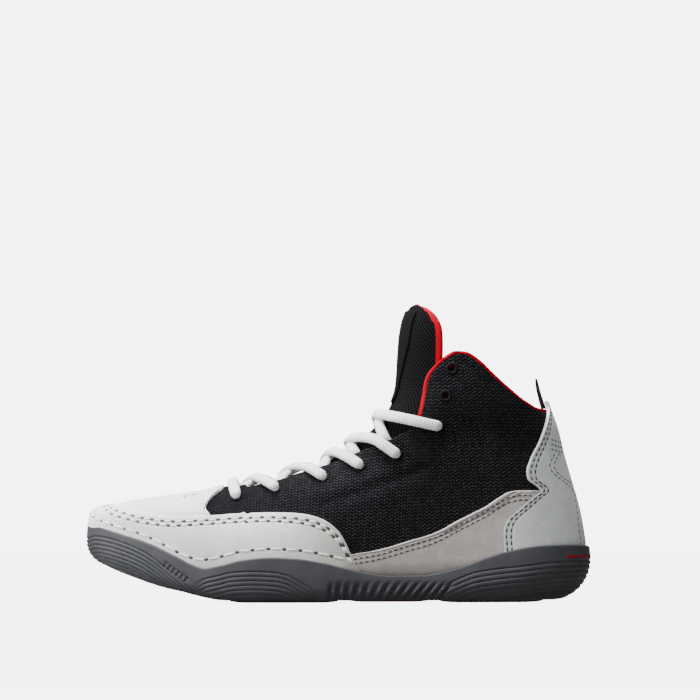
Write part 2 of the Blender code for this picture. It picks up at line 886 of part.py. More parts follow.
def toe_guard(finish):
    """The suede that wraps the toe and the forefoot down into the cup."""
    places = guard_places(0.560)
    edge = table_curve(GUARD_EDGE, 1)
    high = [edge_share(place, edge) for place in places]
    return suede("toe_guard", places, [in_cup(place) for place in places], high, 9, finish)


def vamp(finish):
    """The suede on top of the toe, from the guard's edge back to the throat."""
    guard = table_curve(GUARD_EDGE, 1)
    back = table_curve(VAMP_EDGE, 1)

    def span(place):
        """Where the vamp starts and ends on a rib."""
        start = edge_share(place, guard) + CURVED_CLEARANCE / rib_length(place)
        shares = np.linspace(start, 1, 200)
        line = last.skin(place, shares, CURVED_CLEARANCE + OVERLAY)
        beyond = share_along(line[:, 0]) - back(line[:, 2] / COLLAR_HEIGHT)
        crossing = np.nonzero(beyond > 0)[0]
        end = shares[crossing[0]] if len(crossing) else 1.0
        end = max(end, start + 1.5 * MM / rib_length(place))
        return start, min(end, 1 - 0.5 * MM / rib_length(place))

    x, z = along(VAMP_CORNER[0]), VAMP_CORNER[1] * COLLAR_HEIGHT
    corners = [last.place_at(x, z, side) for side in (-1, 1)]
    places = places_between(corners[0], corners[1])
    for _ in range(3):
        places = with_middles(places, [span(place)[1] for place in places])
    low, high = np.array([span(place) for place in places]).T
    return suede("vamp", places, low, high, 8, finish)


def side_panel(name, side, finish):
    """The suede along one side, between toe guard and heel counter."""
    guard = table_curve(swapped(GUARD_EDGE[-6:])[::-1], 1)
    top = table_curve(swapped(PANEL_EDGE[:-2]), 1)
    counter = table_curve(COUNTER_EDGE, 1)
    low, corner, high = 0.07, PANEL_EDGE[0][1], 0.444
    lines = []
    for height in np.concatenate([np.linspace(low, corner, 3), np.linspace(corner, high, 7)[1:]]):
        front_edge = guard(height) if height < corner + 0.001 else top(height)
        lines.append((height, along(front_edge) + 0.8 * MM, along(counter(height)) - 0.8 * MM))
    outer, inner = height_rows(lines, 12, side)
    return slab(name, outer, inner, finish)


def height_rows(lines, columns, side):
    """Grids of points over the upper at several heights, each between two places along the shoe."""
    outer, inner = [], []
    for height, first, final in lines:
        z = height * COLLAR_HEIGHT
        row_out, row_in = [], []
        ends = [last.place_at(x, z, side) for x in (first, final)]
        for place in np.linspace(ends[0], ends[1], columns):
            share = max(last.share_at_height(place, z), in_cup(place))
            row_out.append(last.skin(place, share, CURVED_CLEARANCE + OVERLAY))
            row_in.append(last.skin(place, share, CURVED_CLEARANCE))
        outer.append(row_out)
        inner.append(row_in)
    return np.array(outer), np.array(inner)


def heel_counter(finish):
    """The suede round the heel, with its tab standing up behind the collar."""
    front = table_curve(COUNTER_EDGE, 1)
    heights = np.concatenate(
        [np.linspace(0.10, 0.443, 7), np.linspace(0.475, 0.76, 6), [COUNTER_TOP]]
    )
    columns = np.linspace(-1, 1, 19)
    outer, inner = [], []
    for height in heights:
        z = height * COLLAR_HEIGHT
        edge_x = min(along(front(height)), heel_x(z) - 0.6 * MM)
        reach = abs(last.place_at(edge_x, z, -1))
        reach = min(reach, 1 - 4.0 * MM / LENGTH)
        row_out, row_in = [], []
        for column in columns:
            place = math.copysign(1 - (1 - reach) * abs(column), -column)
            share = max(last.share_at_height(place, z), in_cup(place))
            row_out.append(last.skin(place, share, CURVED_CLEARANCE + OVERLAY))
            row_in.append(last.skin(place, share, CURVED_CLEARANCE))
        outer.append(row_out)
        inner.append(row_in)
    return slab("heel_counter", np.array(outer), np.array(inner), finish)


class Front:
    """The front of the closed form, by share of the ridge line's length and distance round from it."""

    ROWS = 160
    REACH = 66 * MM
    DEPTH = 80 * MM

    def __init__(self):
        self.ridge, self.inward = self.ridge_line()
        self.shares = np.linspace(0, 1, self.ROWS)
        self.across = self.REACH * np.linspace(-1, 1, 133)
        sections = [self.section(p, way) for p, way in zip(self.ridge, self.inward)]
        self.points = np.array(sections)
        upwards = np.gradient(self.points, axis=0)
        sideways = np.gradient(self.points, axis=1)
        normals = np.cross(upwards, sideways)
        self.normals = normals / np.linalg.norm(normals, axis=2, keepdims=True)

    def ridge_line(self):
        """Points and inward directions along the ridge, from the throat to the tongue's tip."""
        t = np.linspace(0, 1, 800)
        key = np.linspace(0, 1, len(RIDGE))
        x = along(table_curve(list(zip(key, [row[0] for row in RIDGE])), 1)(t))
        z = height_of(table_curve(list(zip(key, [row[1] for row in RIDGE])), 1)(t))
        keep = x >= along(TONGUE_START)
        line = np.column_stack([x[keep], np.zeros(keep.sum()), z[keep]])
        points = resampled(line, np.linspace(0, 1, self.ROWS))
        way = np.gradient(points, axis=0)
        way /= np.linalg.norm(way, axis=1, keepdims=True)
        inward = np.column_stack([way[:, 2], np.zeros(self.ROWS), -way[:, 0]])
        level = ease((points[:, 2] / COLLAR_HEIGHT - 0.62) / 0.20)[:, None]
        inward = inward * (1 - level) + np.array([1.0, 0, 0]) * level
        inward /= np.linalg.norm(inward, axis=1, keepdims=True)
        return points, inward

    def section(self, point, inward):
        """The line round the form from one side to the other through a ridge point."""
        behind = np.linspace(0, 1, 500) ** 2 * self.DEPTH
        line = point + inward * behind[:, None]
        width = half_width(line[:, 0], line[:, 2])
        width[0] = 0.0
        steps = np.hypot(np.diff(behind), np.diff(width))
        gone = np.concatenate(([0.0], np.cumsum(steps)))
        x, z, half = (
            np.interp(np.abs(self.across), gone, values)
            for values in (line[:, 0], line[:, 2], width)
        )
        return np.column_stack([x, centre_y(x) + np.sign(self.across) * half, z])

    def at(self, share, y, depth=0.0):
        """The point at a distance round from the ridge, sunk in by a depth, and the normal there."""
        a = np.clip(share, 0, 1) * (self.ROWS - 1)
        i = min(int(a), self.ROWS - 2)
        b = (np.clip(y / self.REACH, -1, 1) + 1) / 2 * (len(self.across) - 1)
        j = min(int(b), len(self.across) - 2)
        a, b = a - i, b - j
        values = []
        for grid in (self.points, self.normals):
            low = grid[i, j] * (1 - b) + grid[i, j + 1] * b
            high = grid[i + 1, j] * (1 - b) + grid[i + 1, j + 1] * b
            values.append(low * (1 - a) + high * a)
        normal = values[1] / np.linalg.norm(values[1])
        return values[0] - normal * depth, normal

    def find(self, x, z, side):
        """The share and the distance round from the ridge of a place seen from the side."""
        half = self.points.shape[1] // 2
        part = self.points[:, half:] if side > 0 else self.points[:, : half + 1]
        gaps = np.hypot(part[:, :, 0] - x, part[:, :, 2] - z)
        i, j = np.unravel_index(np.argmin(gaps), gaps.shape)
        across = self.across[half:] if side > 0 else self.across[: half + 1]
        return float(self.shares[i]), float(across[j])

    def edge(self, share, side):
        """How far round from the ridge the edge of the throat lies."""
        height = table_curve(TOP_EDGE, 1)
        for y in np.linspace(0, self.REACH, 200):
            point, _ = self.at(share, side * y)
            if point[2] <= height(share_along(point[0])) * COLLAR_HEIGHT:
                return float(side * y)
        return float(side * self.REACH)


front = Front()


def tongue_grids(rows, columns, depths, first=0.0, final=1.0, width=None):
    """Grids of points over the tongue at some depths below the closed form."""
    half = table_curve(TONGUE, 1)
    full = table_curve(TONGUE, 2)
    grids = [[] for _ in depths]
    for share in np.linspace(first, final, rows) ** 0.9:
        reach = (half(share) if width is None else width) * BALL_WIDTH
        for grid, depth in zip(grids, depths):
            row = []
            for across in np.linspace(-1, 1, columns):
                edge = 1 - 0.35 * abs(across) ** 4
                row.append(front.at(share, across * reach, depth(full(share) * edge))[0])
            grid.append(row)
    return [np.array(grid) for grid in grids]


def tongue_top():
    return WALL + 2 * CURVED_CLEARANCE


def tongue(finish):
    """The padded tongue, under the flaps and the lacing and up past the collar."""
    outer, inner = tongue_grids(
        16,
        11,
        (lambda full: tongue_top(), lambda full: tongue_top() + TONGUE_THICKNESS * full),
    )
    return slab("tongue", outer, inner, finish)


def tongue_label(finish):
    """The smooth patch sewn on the front of the tongue."""
    under = tongue_top() - CURVED_CLEARANCE
    outer, inner = tongue_grids(
        8, 7, (lambda full: under - LABEL_THICKNESS, lambda full: under), 0.64, 0.95, 0.17
    )
    return slab("tongue_label", outer, inner, finish)


def eyelet_frame(row, side):
    """The middle, outward direction and upward direction of an eyelet on the upper."""
    x, z = along(EYELETS[row][0]), EYELETS[row][1] * COLLAR_HEIGHT
    place = last.place_at(x, z, side)
    share = last.share_at_height(place, z)
    point = last.skin(place, share)
    out = last.skin(place, share, 1.0) - point
    rise = last.skin(place, share + 0.01) - point
    rise /= np.linalg.norm(rise)
    return Vector(point), Vector(out).normalized(), Vector(rise)


def turned(name, profile, frame, sides, finish):
    """A ring turned about an eyelet's axis, from (radius, height) pairs."""
    centre, axis, rise = frame
    across = axis.cross(rise).normalized()
    rise = across.cross(axis).normalized()
    lines = []
    for radius, height in profile:
        line = []
        for k in range(sides):
            turn = 2 * math.pi * k / sides
            spoke = across * math.cos(turn) + rise * math.sin(turn)
            line.append(centre + axis * height + spoke * radius)
        lines.append(line)
    points = [p for line in lines for p in line]
    numbers = [list(range(k * sides, (k + 1) * sides)) for k in range(len(lines))]
    faces = []
    for k, line in enumerate(numbers):
        faces += quads_between(line, numbers[(k + 1) % len(numbers)], True)
    return add_object(name, points, faces, finish)


def add_eyelets(body, finish):
    """Punches the lace holes in the upper and sets a ring round each."""
    for side, word in ((-1, "lateral"), (1, "medial")):
        for row in range(len(EYELETS)):
            frame = eyelet_frame(row, side)
            punch(body, frame, EYELET_HOLE, f"{word}_{row + 1}")
            seat = CURVED_CLEARANCE
            profile = (
                (EYELET_HOLE, seat),
                (EYELET_HOLE, seat + RING_THICKNESS),
                (EYELET_RING, seat + RING_THICKNESS),
                (EYELET_RING, seat),
            )
            turned(f"eyelet_{word}_{row + 1}", profile, frame, 8, finish)


def punch(body, frame, radius, name):
    """Cuts a round hole through a wall."""
    centre, axis, rise = frame
    across = axis.cross(rise).normalized()
    upward = across.cross(axis).normalized()
    work = bmesh.new()
    bmesh.ops.create_cone(
        work, cap_ends=True, segments=8, radius1=radius, radius2=radius, depth=8 * MM
    )
    mesh = bpy.data.meshes.new(f"punch_{name}")
    work.to_mesh(mesh)
    work.free()
    for vertex in mesh.vertices:
        x, y, z = vertex.co
        vertex.co = centre + across * x - upward * y + axis * z
    cutter = bpy.data.objects.new(f"punch_{name}", mesh)
    bpy.context.scene.collection.objects.link(cutter)
    cutter.hide_render = True
    cutter.display_type = "WIRE"
    cut = body.modifiers.new(f"punch_{name}", "BOOLEAN")
    cut.operation = "DIFFERENCE"
    cut.solver = "EXACT"
    cut.object = cutter


def flat_cord(name, path, ups, finish, sides=6):
    """A cord of oval section along a path, its flat side facing the given directions."""
    way = np.gradient(path, axis=0)
    points, numbers = [], []
    for centre, ahead, up in zip(path, way, ups):
        ahead = Vector(ahead).normalized()
        across = ahead.cross(Vector(up)).normalized()
        upward = across.cross(ahead).normalized()
        numbers.append(list(range(len(points), len(points) + sides)))
        for k in range(sides):
            turn = 2 * math.pi * k / sides
            wide = across * math.cos(turn) * LACE_WIDTH / 2
            high = upward * math.sin(turn) * LACE_THICKNESS / 2
            points.append(Vector(centre) + wide + high)
    faces = [numbers[0][::-1], numbers[-1]]
    for first, second in zip(numbers, numbers[1:]):
        faces += quads_between(first, second, True)
    return add_object(name, points, faces, finish)


def lace_strand(name, row, side, over, finish):
    """A strand from one side's flap edge over the throat to the next eyelet on the other side."""
    spots = [
        front.find(along(EYELETS[k][0]), EYELETS[k][1] * COLLAR_HEIGHT, at_side)
        for k, at_side in ((row, -side), (row + 1, side))
    ]
    (start_share, _), (end_share, end_y) = spots
    start_share += 0.4 * (end_share - start_share)
    half = LACE_THICKNESS / 2
    high = lace_over_ring()
    inset = 6.5 * MM if row == 0 else 5.0 * MM
    start_y = front.edge(start_share, -side) + side * inset
    edge_y = front.edge(end_share, side)
    depths = table_curve(
        (
            # share of the way, depth
            (0.0, tongue_top() - CURVED_CLEARANCE - half),
            (-start_y / (end_y - start_y), -0.2 * MM if over else 1.5 * MM),
            ((edge_y - side * 3 * MM - start_y) / (end_y - start_y), -half - 0.8 * MM),
            ((edge_y + side * 2 * MM - start_y) / (end_y - start_y), high),
            (1.0, high),
        ),
        1,
    )
    path, faced = [], []
    for t in np.linspace(0, 1, 10):
        share = start_share + (end_share - start_share) * t
        point, normal = front.at(share, start_y + (end_y - start_y) * t, float(depths(t)))
        path.append(point)
        faced.append(normal)
    return flat_cord(name, np.array(path), faced, finish)


def lace_over_ring():
    """How deep the middle of the lace lies where it crosses an eyelet's ring, counted inwards."""
    return -(LACE_THICKNESS / 2 + RING_THICKNESS + 3 * CURVED_CLEARANCE)


def joined(name, first, second):
    """One solid of two that cross."""
    union = first.modifiers.new("join", "BOOLEAN")
    union.operation = "UNION"
    union.solver = "EXACT"
    union.object = second
    second.hide_render = True
    second.display_type = "WIRE"
    first.name = name
    return first


def laces(finish):
    """The bar at the toe end and the crossings above it, each a solid of its own."""
    for row in range(LACED_ROWS - 1):
        over = lace_strand(f"strand_over_{row + 1}", row, -1, True, finish)
        under = lace_strand(f"strand_under_{row + 1}", row, 1, False, finish)
        joined(f"lace_crossing_{row + 1}", over, under)
    lace_bar(finish)


def lace_bar(finish):
    """The first stretch of lace, straight across between the lowest eyelets."""
    x, z = along(EYELETS[0][0]), EYELETS[0][1] * COLLAR_HEIGHT
    share, reach = front.find(x, z, 1)
    path, faced = [], []
    for y in np.linspace(-reach, reach, 9):
        sunk = 0.8 * MM * (1 - (y / reach) ** 2)
        point, normal = front.at(share, y, lace_over_ring() + sunk)
        path.append(point)
        faced.append(normal)
    return flat_cord("lace_bar", np.array(path), faced, finish)


def pull_tab(finish):
    """The webbing tab inside the counter's top, standing on the collar at the back."""
    top = last.skin(1.0, 1.0)
    base_x = top[0] - WALL / 2
    base_z = top[2] + CLEARANCE
    outer, inner = [], []
    for t in np.linspace(0, 1, 6):
        x = base_x - TAB_LEAN * t - 0.4 * MM * math.sin(math.pi * t)
        z = base_z + TAB_RISE * t
        outer.append([(x, y * TAB_WIDTH, z) for y in (-0.5, 0, 0.5)])
        inner.append([(x - TAB_THICKNESS, y * TAB_WIDTH, z) for y in (-0.5, 0, 0.5)])
    return slab("pull_tab", np.array(outer), np.array(inner), finish)


def sole_edges(x):
    """The lateral and medial Y of the sole's flat underside at a place along the shoe."""
    inset = sole_roll(share_along(x)) * TOE_RIM_HEIGHT + PAD_INSET - cup_offset()
    low, high = [], []
    for value, room in zip(np.atleast_1d(x), np.atleast_1d(inset)):
        half = float(half_width(value, shoulder_height(value)))
        low.append(centre_y(value) - half + room)
        high.append(centre_y(value) + half - room)
    return np.array(low), np.array(high)


def tread(name, start, end, finish, lugs=True):
    """A pad under the sole, with its lugs cut across by grooves."""
    first, final = along(start), along(end)
    count = max(1, round((final - first) / LUG_PITCH))
    pitch = (final - first) / count
    gap, slope = 0.26 * pitch, 0.05 * pitch
    top = sole_underside(0.5) * TOE_RIM_HEIGHT - CLEARANCE
    stations = []
    for k in range(count):
        a = first + k * pitch
        b = a + pitch - gap
        stations += [(a, 0.0), (b, 0.0)]
        if k < count - 1 and lugs:
            stations += [(b + slope, LUG_DEPTH), (a + pitch - slope, LUG_DEPTH)]
    upper_grid, lower_grid = [], []
    for x, z in stations:
        low, high = sole_edges(x)
        end_share = min(x - first, final - x) / (12 * MM)
        square = 0.86 + 0.14 * math.sqrt(max(0.0, 1 - (1 - min(1, end_share)) ** 2))
        middle, half = (low[0] + high[0]) / 2, (high[0] - low[0]) / 2 * square
        sides = (middle - half, middle, middle + half)
        upper_grid.append([(x, y, top) for y in sides])
        lower_grid.append([(x, y, z) for y in sides])
    return slab(name, np.array(upper_grid), np.array(lower_grid), finish)


def put_origin_below():
    """Moves the shoe so that the origin is on the floor under the middle of its box."""
    meshes = [made.data for made in bpy.data.objects]
    corners = np.array([v.co for mesh in meshes for v in mesh.vertices])
    middle = (corners.min(axis=0) + corners.max(axis=0)) / 2
    for mesh in meshes:
        for vertex in mesh.vertices:
            vertex.co.x -= middle[0]
            vertex.co.y -= middle[1]


def clear_scene():
    for old in list(bpy.data.objects):
        bpy.data.objects.remove(old, do_unlink=True)


def build():
    clear_scene()
    black = material("black_mesh", (0.012, 0.012, 0.014), 0.9)
    light = material("light_suede", (0.72, 0.70, 0.67), 0.85)
    warm = material("warm_grey_suede", (0.33, 0.30, 0.29), 0.85)
    cool = material("cool_grey_suede", (0.38, 0.40, 0.39), 0.85)
    rubber = material("grey_rubber", (0.07, 0.07, 0.08), 0.6)
    red = material("red_rubber", (0.5, 0.01, 0.02), 0.6)
    cord = material("white_cord", (0.85, 0.85, 0.84), 0.8)
    label = material("black_label", (0.02, 0.02, 0.022), 0.7)
    webbing = material("black_webbing", (0.01, 0.01, 0.01), 0.8)
    ring = material("black_ring", (0.01, 0.01, 0.012), 0.5)
    foam = material("black_footbed", (0.02, 0.02, 0.02), 0.9)

    outsole(rubber)
    tread("forefoot_tread", 0.285, 0.500, rubber)
    tread("heel_tread", 0.700, 0.905, rubber)
    tread("arch_insert", 0.506, 0.694, red, lugs=False)
    body = upper(black)
    insole(foam)
    toe_guard(light)
    vamp(light)
    side_panel("side_panel_lateral", -1, warm)
    side_panel("side_panel_medial", 1, warm)
    heel_counter(cool)
    tongue(black)
    tongue_label(label)
    add_eyelets(body, ring)
    laces(cord)
    pull_tab(webbing)
    put_origin_below()


build()
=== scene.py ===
"""The looks of a left high-top wrestling shoe: black knit, grey suede, a grey rubber cup, white lace.

The finish pieces are worked out from the same last as the CAD solids, so they lie where those lie.
Sizes are in metres, tables hold shares of the named sizes, and +Z is up, with the toe at -X and the
lateral side at -Y.
"""

import math

import bmesh
import bpy
import numpy as np
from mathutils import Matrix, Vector


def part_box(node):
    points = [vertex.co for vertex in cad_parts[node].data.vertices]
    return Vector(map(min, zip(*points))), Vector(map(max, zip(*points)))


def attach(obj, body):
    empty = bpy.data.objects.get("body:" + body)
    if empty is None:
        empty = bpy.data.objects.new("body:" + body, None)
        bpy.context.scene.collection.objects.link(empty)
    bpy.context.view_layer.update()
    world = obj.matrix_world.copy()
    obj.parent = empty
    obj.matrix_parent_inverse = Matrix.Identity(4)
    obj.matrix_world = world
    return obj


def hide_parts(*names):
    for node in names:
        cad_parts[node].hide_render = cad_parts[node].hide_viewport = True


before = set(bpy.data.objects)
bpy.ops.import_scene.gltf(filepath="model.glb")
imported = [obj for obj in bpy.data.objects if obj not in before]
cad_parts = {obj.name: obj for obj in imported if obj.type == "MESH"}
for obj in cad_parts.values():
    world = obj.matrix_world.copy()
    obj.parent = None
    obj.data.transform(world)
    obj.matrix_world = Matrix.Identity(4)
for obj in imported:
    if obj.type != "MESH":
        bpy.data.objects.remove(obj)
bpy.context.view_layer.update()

MM = 0.001

# Overall sizes of the shoe.
LENGTH = 290 * MM
BALL_WIDTH = 93 * MM
SHAFT_WIDTH = 75 * MM
COLLAR_HEIGHT = 144.5 * MM
TONGUE_HEIGHT = 175.2 * MM

# Walls and clearances.
WALL = 2.6 * MM
CLEARANCE = 0.3 * MM
CURVED_CLEARANCE = 0.7 * MM
TONGUE_THICKNESS = 5.0 * MM
INSOLE_THICKNESS = 4.0 * MM
LABEL_THICKNESS = 0.9 * MM

# The sole.
TOE_RIM_HEIGHT = 45.0 * MM
WALL_BULGE = 0.8 * MM
PAD_THICKNESS = 1.1 * MM
LUG_DEPTH = 0.7 * MM
PAD_INSET = 3.0 * MM

# Where the pads and the arch piece start and end, in shares of LENGTH.
BALL_PAD = (0.285, 0.500)
HEEL_PAD = (0.700, 0.905)
ARCH = (0.506, 0.694)

# Lacing.
EYELET_HOLE = 1.9 * MM
EYELET_RING = 3.5 * MM

# The pull tab.
TAB_WIDTH = 13.0 * MM
TAB_THICKNESS = 1.6 * MM
TAB_RISE = 17.5 * MM
TAB_LEAN = 5.0 * MM
TAB_BOW = 1.9 * MM

# How the last is built.
THROAT_BASE = 0.269
THROAT_CENTRE = 0.317
TOE_TIP = 0.0155
TOE_CLOSING = 0.24
HEEL_CLOSING = 42 * MM
SHIN_CLOSING = 45 * MM
HEEL_LEVEL = 0.22 * COLLAR_HEIGHT
FEATHER_TUCK = 5.0 * MM
SHOULDER_RISE = 14.0 * MM
SECTION_POWER = 2.2
TOE_POWER = 8.0
INSTEP_FROM = 0.555
INSTEP_SLOPE = 1.3
PLAN_POWER = 2.2
SHAFT_FROM = 0.55
SHAFT_TO = 0.80
WAIST_FROM = 0.28
WAIST_TO = 0.85

# Shares of LENGTH from the toe, and of BALL_WIDTH. The centre is where the middle of the foot lies.
PLAN = (
    # along, centre, half_width
    (0.00, 0.100, 0.460),
    (0.10, 0.085, 0.480),
    (0.20, 0.045, 0.498),
    (0.28, 0.010, 0.500),
    (0.36, -0.012, 0.490),
    (0.45, -0.030, 0.452),
    (0.55, -0.036, 0.404),
    (0.65, -0.026, 0.372),
    (0.75, -0.010, 0.362),
    (0.85, 0.000, 0.365),
    (1.00, 0.000, 0.360),
)

# The top line of the closed foot and shin, seen from the side. Shares of LENGTH and of COLLAR_HEIGHT.
RIDGE = (
    # along, height
    (0.0000, 0.378), (0.0655, 0.394), (0.1276, 0.411), (0.1900, 0.425), (0.2380, 0.440),
    (0.2690, 0.456), (0.3445, 0.498), (0.4238, 0.543), (0.4690, 0.578), (0.5070, 0.623),
    (0.5386, 0.671), (0.5700, 0.732), (0.5914, 0.795), (0.6020, 0.865), (0.6059, 0.980),
    (0.6086, 1.052), (0.6138, 1.114), (0.6228, 1.166), (0.6340, 1.196), (0.6480, 1.216),
)

# The back of the heel, seen from the side. Shares of COLLAR_HEIGHT and of LENGTH.
HEEL = (
    # height, along
    (0.00, 0.9740), (0.08, 0.9790), (0.16, 0.9845), (0.22, 0.9860), (0.28, 0.9825), (0.35, 0.9755),
    (0.47, 0.9595), (0.58, 0.9435), (0.69, 0.9300), (0.757, 0.9180), (0.85, 0.9030), (1.22, 0.8580),
)

# The edge of throat and collar, from the corner of the throat to the back. Shares as for RIDGE.
TOP_EDGE = (
    # along, height
    (0.3170, 0.4590), (0.3380, 0.4650), (0.3780, 0.4860), (0.4240, 0.5120), (0.4670, 0.5420),
    (0.5130, 0.5740), (0.5520, 0.6090), (0.5940, 0.6400), (0.6240, 0.6700), (0.6440, 0.6960),
    (0.6560, 0.7410), (0.6630, 0.8050), (0.6700, 0.8840), (0.6840, 0.9310), (0.7100, 0.9750),
    (0.7330, 0.9990), (0.7530, 0.9950), (0.7770, 0.9670), (0.8080, 0.9080), (0.8400, 0.8500),
    (0.8720, 0.7990), (0.9000, 0.7700), (0.9180, 0.7650),
)

# The sole seen from the side. Shares of LENGTH, and of TOE_RIM_HEIGHT for the rubber's upper edge, the
# underside and the floor inside. Roll is how far the lower edge is rounded in.
SOLE = (
    # along, rim, underside, floor, roll
    (0.000, 1.100, 0.640, 0.735, 0.24),
    (0.038, 0.975, 0.489, 0.625, 0.22),
    (0.070, 0.895, 0.387, 0.525, 0.19),
    (0.112, 0.808, 0.284, 0.410, 0.16),
    (0.135, 0.755, 0.232, 0.358, 0.14),
    (0.162, 0.672, 0.182, 0.305, 0.13),
    (0.190, 0.579, 0.144, 0.262, 0.12),
    (0.213, 0.500, 0.105, 0.228, 0.12),
    (0.240, 0.447, 0.064, 0.195, 0.12),
    (0.270, 0.480, 0.035, 0.170, 0.12),
    (0.310, 0.545, 0.029, 0.160, 0.12),
    (0.365, 0.578, 0.029, 0.160, 0.12),
    (0.420, 0.560, 0.029, 0.170, 0.12),
    (0.460, 0.520, 0.029, 0.180, 0.12),
    (0.540, 0.408, 0.029, 0.195, 0.12),
    (0.600, 0.362, 0.029, 0.210, 0.12),
    (0.665, 0.366, 0.029, 0.225, 0.13),
    (0.700, 0.400, 0.029, 0.233, 0.14),
    (0.750, 0.480, 0.029, 0.243, 0.16),
    (0.800, 0.590, 0.029, 0.252, 0.20),
    (0.850, 0.680, 0.029, 0.260, 0.27),
    (0.900, 0.728, 0.029, 0.265, 0.36),
    (0.950, 0.735, 0.029, 0.265, 0.44),
    (1.000, 0.700, 0.029, 0.265, 0.46),
)

# Edges of the suede pieces, seen from the side. Shares of LENGTH and of COLLAR_HEIGHT.
GUARD_EDGE = (
    # along, height
    (0.032, 0.428), (0.050, 0.396), (0.066, 0.381), (0.090, 0.372), (0.127, 0.358), (0.187, 0.346),
    (0.247, 0.350), (0.305, 0.359), (0.354, 0.363), (0.404, 0.361), (0.434, 0.355), (0.467, 0.336),
    (0.490, 0.307), (0.508, 0.268), (0.518, 0.228), (0.528, 0.180), (0.543, 0.120), (0.555, 0.040),
)
PANEL_EDGE = (
    # along, height
    (0.505, 0.184), (0.528, 0.193), (0.562, 0.203), (0.602, 0.222), (0.642, 0.247), (0.671, 0.263),
    (0.701, 0.287), (0.731, 0.321), (0.761, 0.351), (0.790, 0.381), (0.820, 0.421), (0.840, 0.441),
    (0.860, 0.446), (0.890, 0.442), (0.900, 0.438),
)
VAMP_EDGE = (
    # height, along
    (0.345, 0.2510), (0.353, 0.2487), (0.372, 0.2400), (0.391, 0.2366), (0.409, 0.2420),
    (0.431, 0.2533), (0.454, 0.2669), (0.460, 0.2690),
)
VAMP_CORNER = (0.2487, 0.356)
COUNTER_EDGE = (
    # height, along
    (0.060, 0.8280), (0.200, 0.8260), (0.275, 0.8240), (0.320, 0.8300), (0.370, 0.8560),
    (0.420, 0.8850), (0.443, 0.8985), (0.462, 0.8900), (0.490, 0.8730), (0.520, 0.8710),
    (0.560, 0.8770), (0.640, 0.8960), (0.720, 0.9100), (0.770, 0.9140), (0.800, 0.9125),
)
COUNTER_TOP = 0.798

# Eyelets from the toe up to the collar, seen from the side. Shares as for RIDGE.
EYELETS = (
    # along, height
    (0.2985, 0.418), (0.3740, 0.449), (0.4700, 0.497), (0.5430, 0.543), (0.6150, 0.588),
    (0.6970, 0.698), (0.7120, 0.821), (0.7245, 0.929),
)
LACED_ROWS = 6

# How far each crossing strand has climbed towards its next eyelet, where it passes over the ridge
# and where it reaches the flap's edge.
CLIMBS = (
    # over the ridge, at the edge
    (0.50, 0.78), (0.42, 0.80), (0.42, 0.84), (0.24, 1.00), (0.94, 1.00),
)

# The tongue from its sewn end to its tip, along the ridge line. Half is its half width in shares of
# BALL_WIDTH, and full its thickness in shares of TONGUE_THICKNESS.
TONGUE = (
    # along, half, full
    (0.00, 0.215, 0.50),
    (0.20, 0.245, 0.55),
    (0.40, 0.330, 0.70),
    (0.55, 0.490, 0.90),
    (0.61, 0.590, 1.00),
    (0.68, 0.600, 1.00),
    (0.74, 0.530, 1.00),
    (0.84, 0.515, 1.00),
    (0.88, 0.495, 1.00),
    (0.915, 0.445, 0.95),
    (0.945, 0.370, 0.90),
    (0.975, 0.265, 0.80),
    (1.00, 0.080, 0.50),
)
TONGUE_START = 0.255
BINDING_FROM = 128 * MM


def table_curve(rows, column):
    """A smooth curve through one column of a table, with no overshoot between its rows."""
    places = np.array([row[0] for row in rows], float)
    values = np.array([row[column] for row in rows], float)
    steps = np.diff(places)
    slopes = np.diff(values) / steps
    tangents = np.empty_like(values)
    tangents[0], tangents[-1] = slopes[0], slopes[-1]
    for i in range(1, len(values) - 1):
        before, after = slopes[i - 1], slopes[i]
        same_way = before * after > 0
        tangents[i] = 2 * before * after / (before + after) if same_way else 0.0

    def value(place):
        place = np.asarray(place, float)
        i = np.clip(np.searchsorted(places, place) - 1, 0, len(steps) - 1)
        t = (place - places[i]) / steps[i]
        inside = np.clip(t, 0, 1)
        outside = (t - inside) * steps[i] * np.where(t < 0, tangents[i], tangents[i + 1])
        rise = inside * inside * (3 - 2 * inside)
        bend = inside * (1 - inside) * steps[i]
        return (
            values[i] * (1 - rise)
            + values[i + 1] * rise
            + bend * ((1 - inside) * tangents[i] - inside * tangents[i + 1])
            + outside
        )

    return value


def swapped(rows):
    return tuple((second, first) for first, second in rows)


def ease(t):
    t = np.clip(t, 0, 1)
    return t * t * (3 - 2 * t)


def along(share):
    """The X of a share of the length, from the toe."""
    return (share - 0.5) * LENGTH


def share_along(x):
    return x / LENGTH + 0.5


plan_centre = table_curve(PLAN, 1)
plan_half = table_curve(PLAN, 2)
ridge_by_place = table_curve(RIDGE, 1)
ridge_by_height = table_curve(swapped(RIDGE), 1)
heel_line = table_curve(HEEL, 1)
sole_rim = table_curve(SOLE, 1)
sole_underside = table_curve(SOLE, 2)
sole_floor = table_curve(SOLE, 3)
sole_roll = table_curve(SOLE, 4)


def centre_y(x):
    return plan_centre(share_along(x)) * BALL_WIDTH


def ridge_height(x):
    return ridge_by_place(share_along(x)) * COLLAR_HEIGHT


def ridge_share(z):
    """The RIDGE table's share of a height: its part above the collar ends at the tongue's top."""
    over = (z - COLLAR_HEIGHT) / (TONGUE_HEIGHT - COLLAR_HEIGHT) * (RIDGE[-1][1] - 1)
    return np.where(z > COLLAR_HEIGHT, 1 + over, z / COLLAR_HEIGHT)


def height_of(share):
    """The height of a share of the RIDGE table, the other way about."""
    over = (share - 1) / (RIDGE[-1][1] - 1) * (TONGUE_HEIGHT - COLLAR_HEIGHT)
    return np.where(share > 1, COLLAR_HEIGHT + over, share * COLLAR_HEIGHT)


def shin_x(z):
    return along(ridge_by_height(ridge_share(z)))


def heel_x(z):
    return along(heel_line(z / COLLAR_HEIGHT))


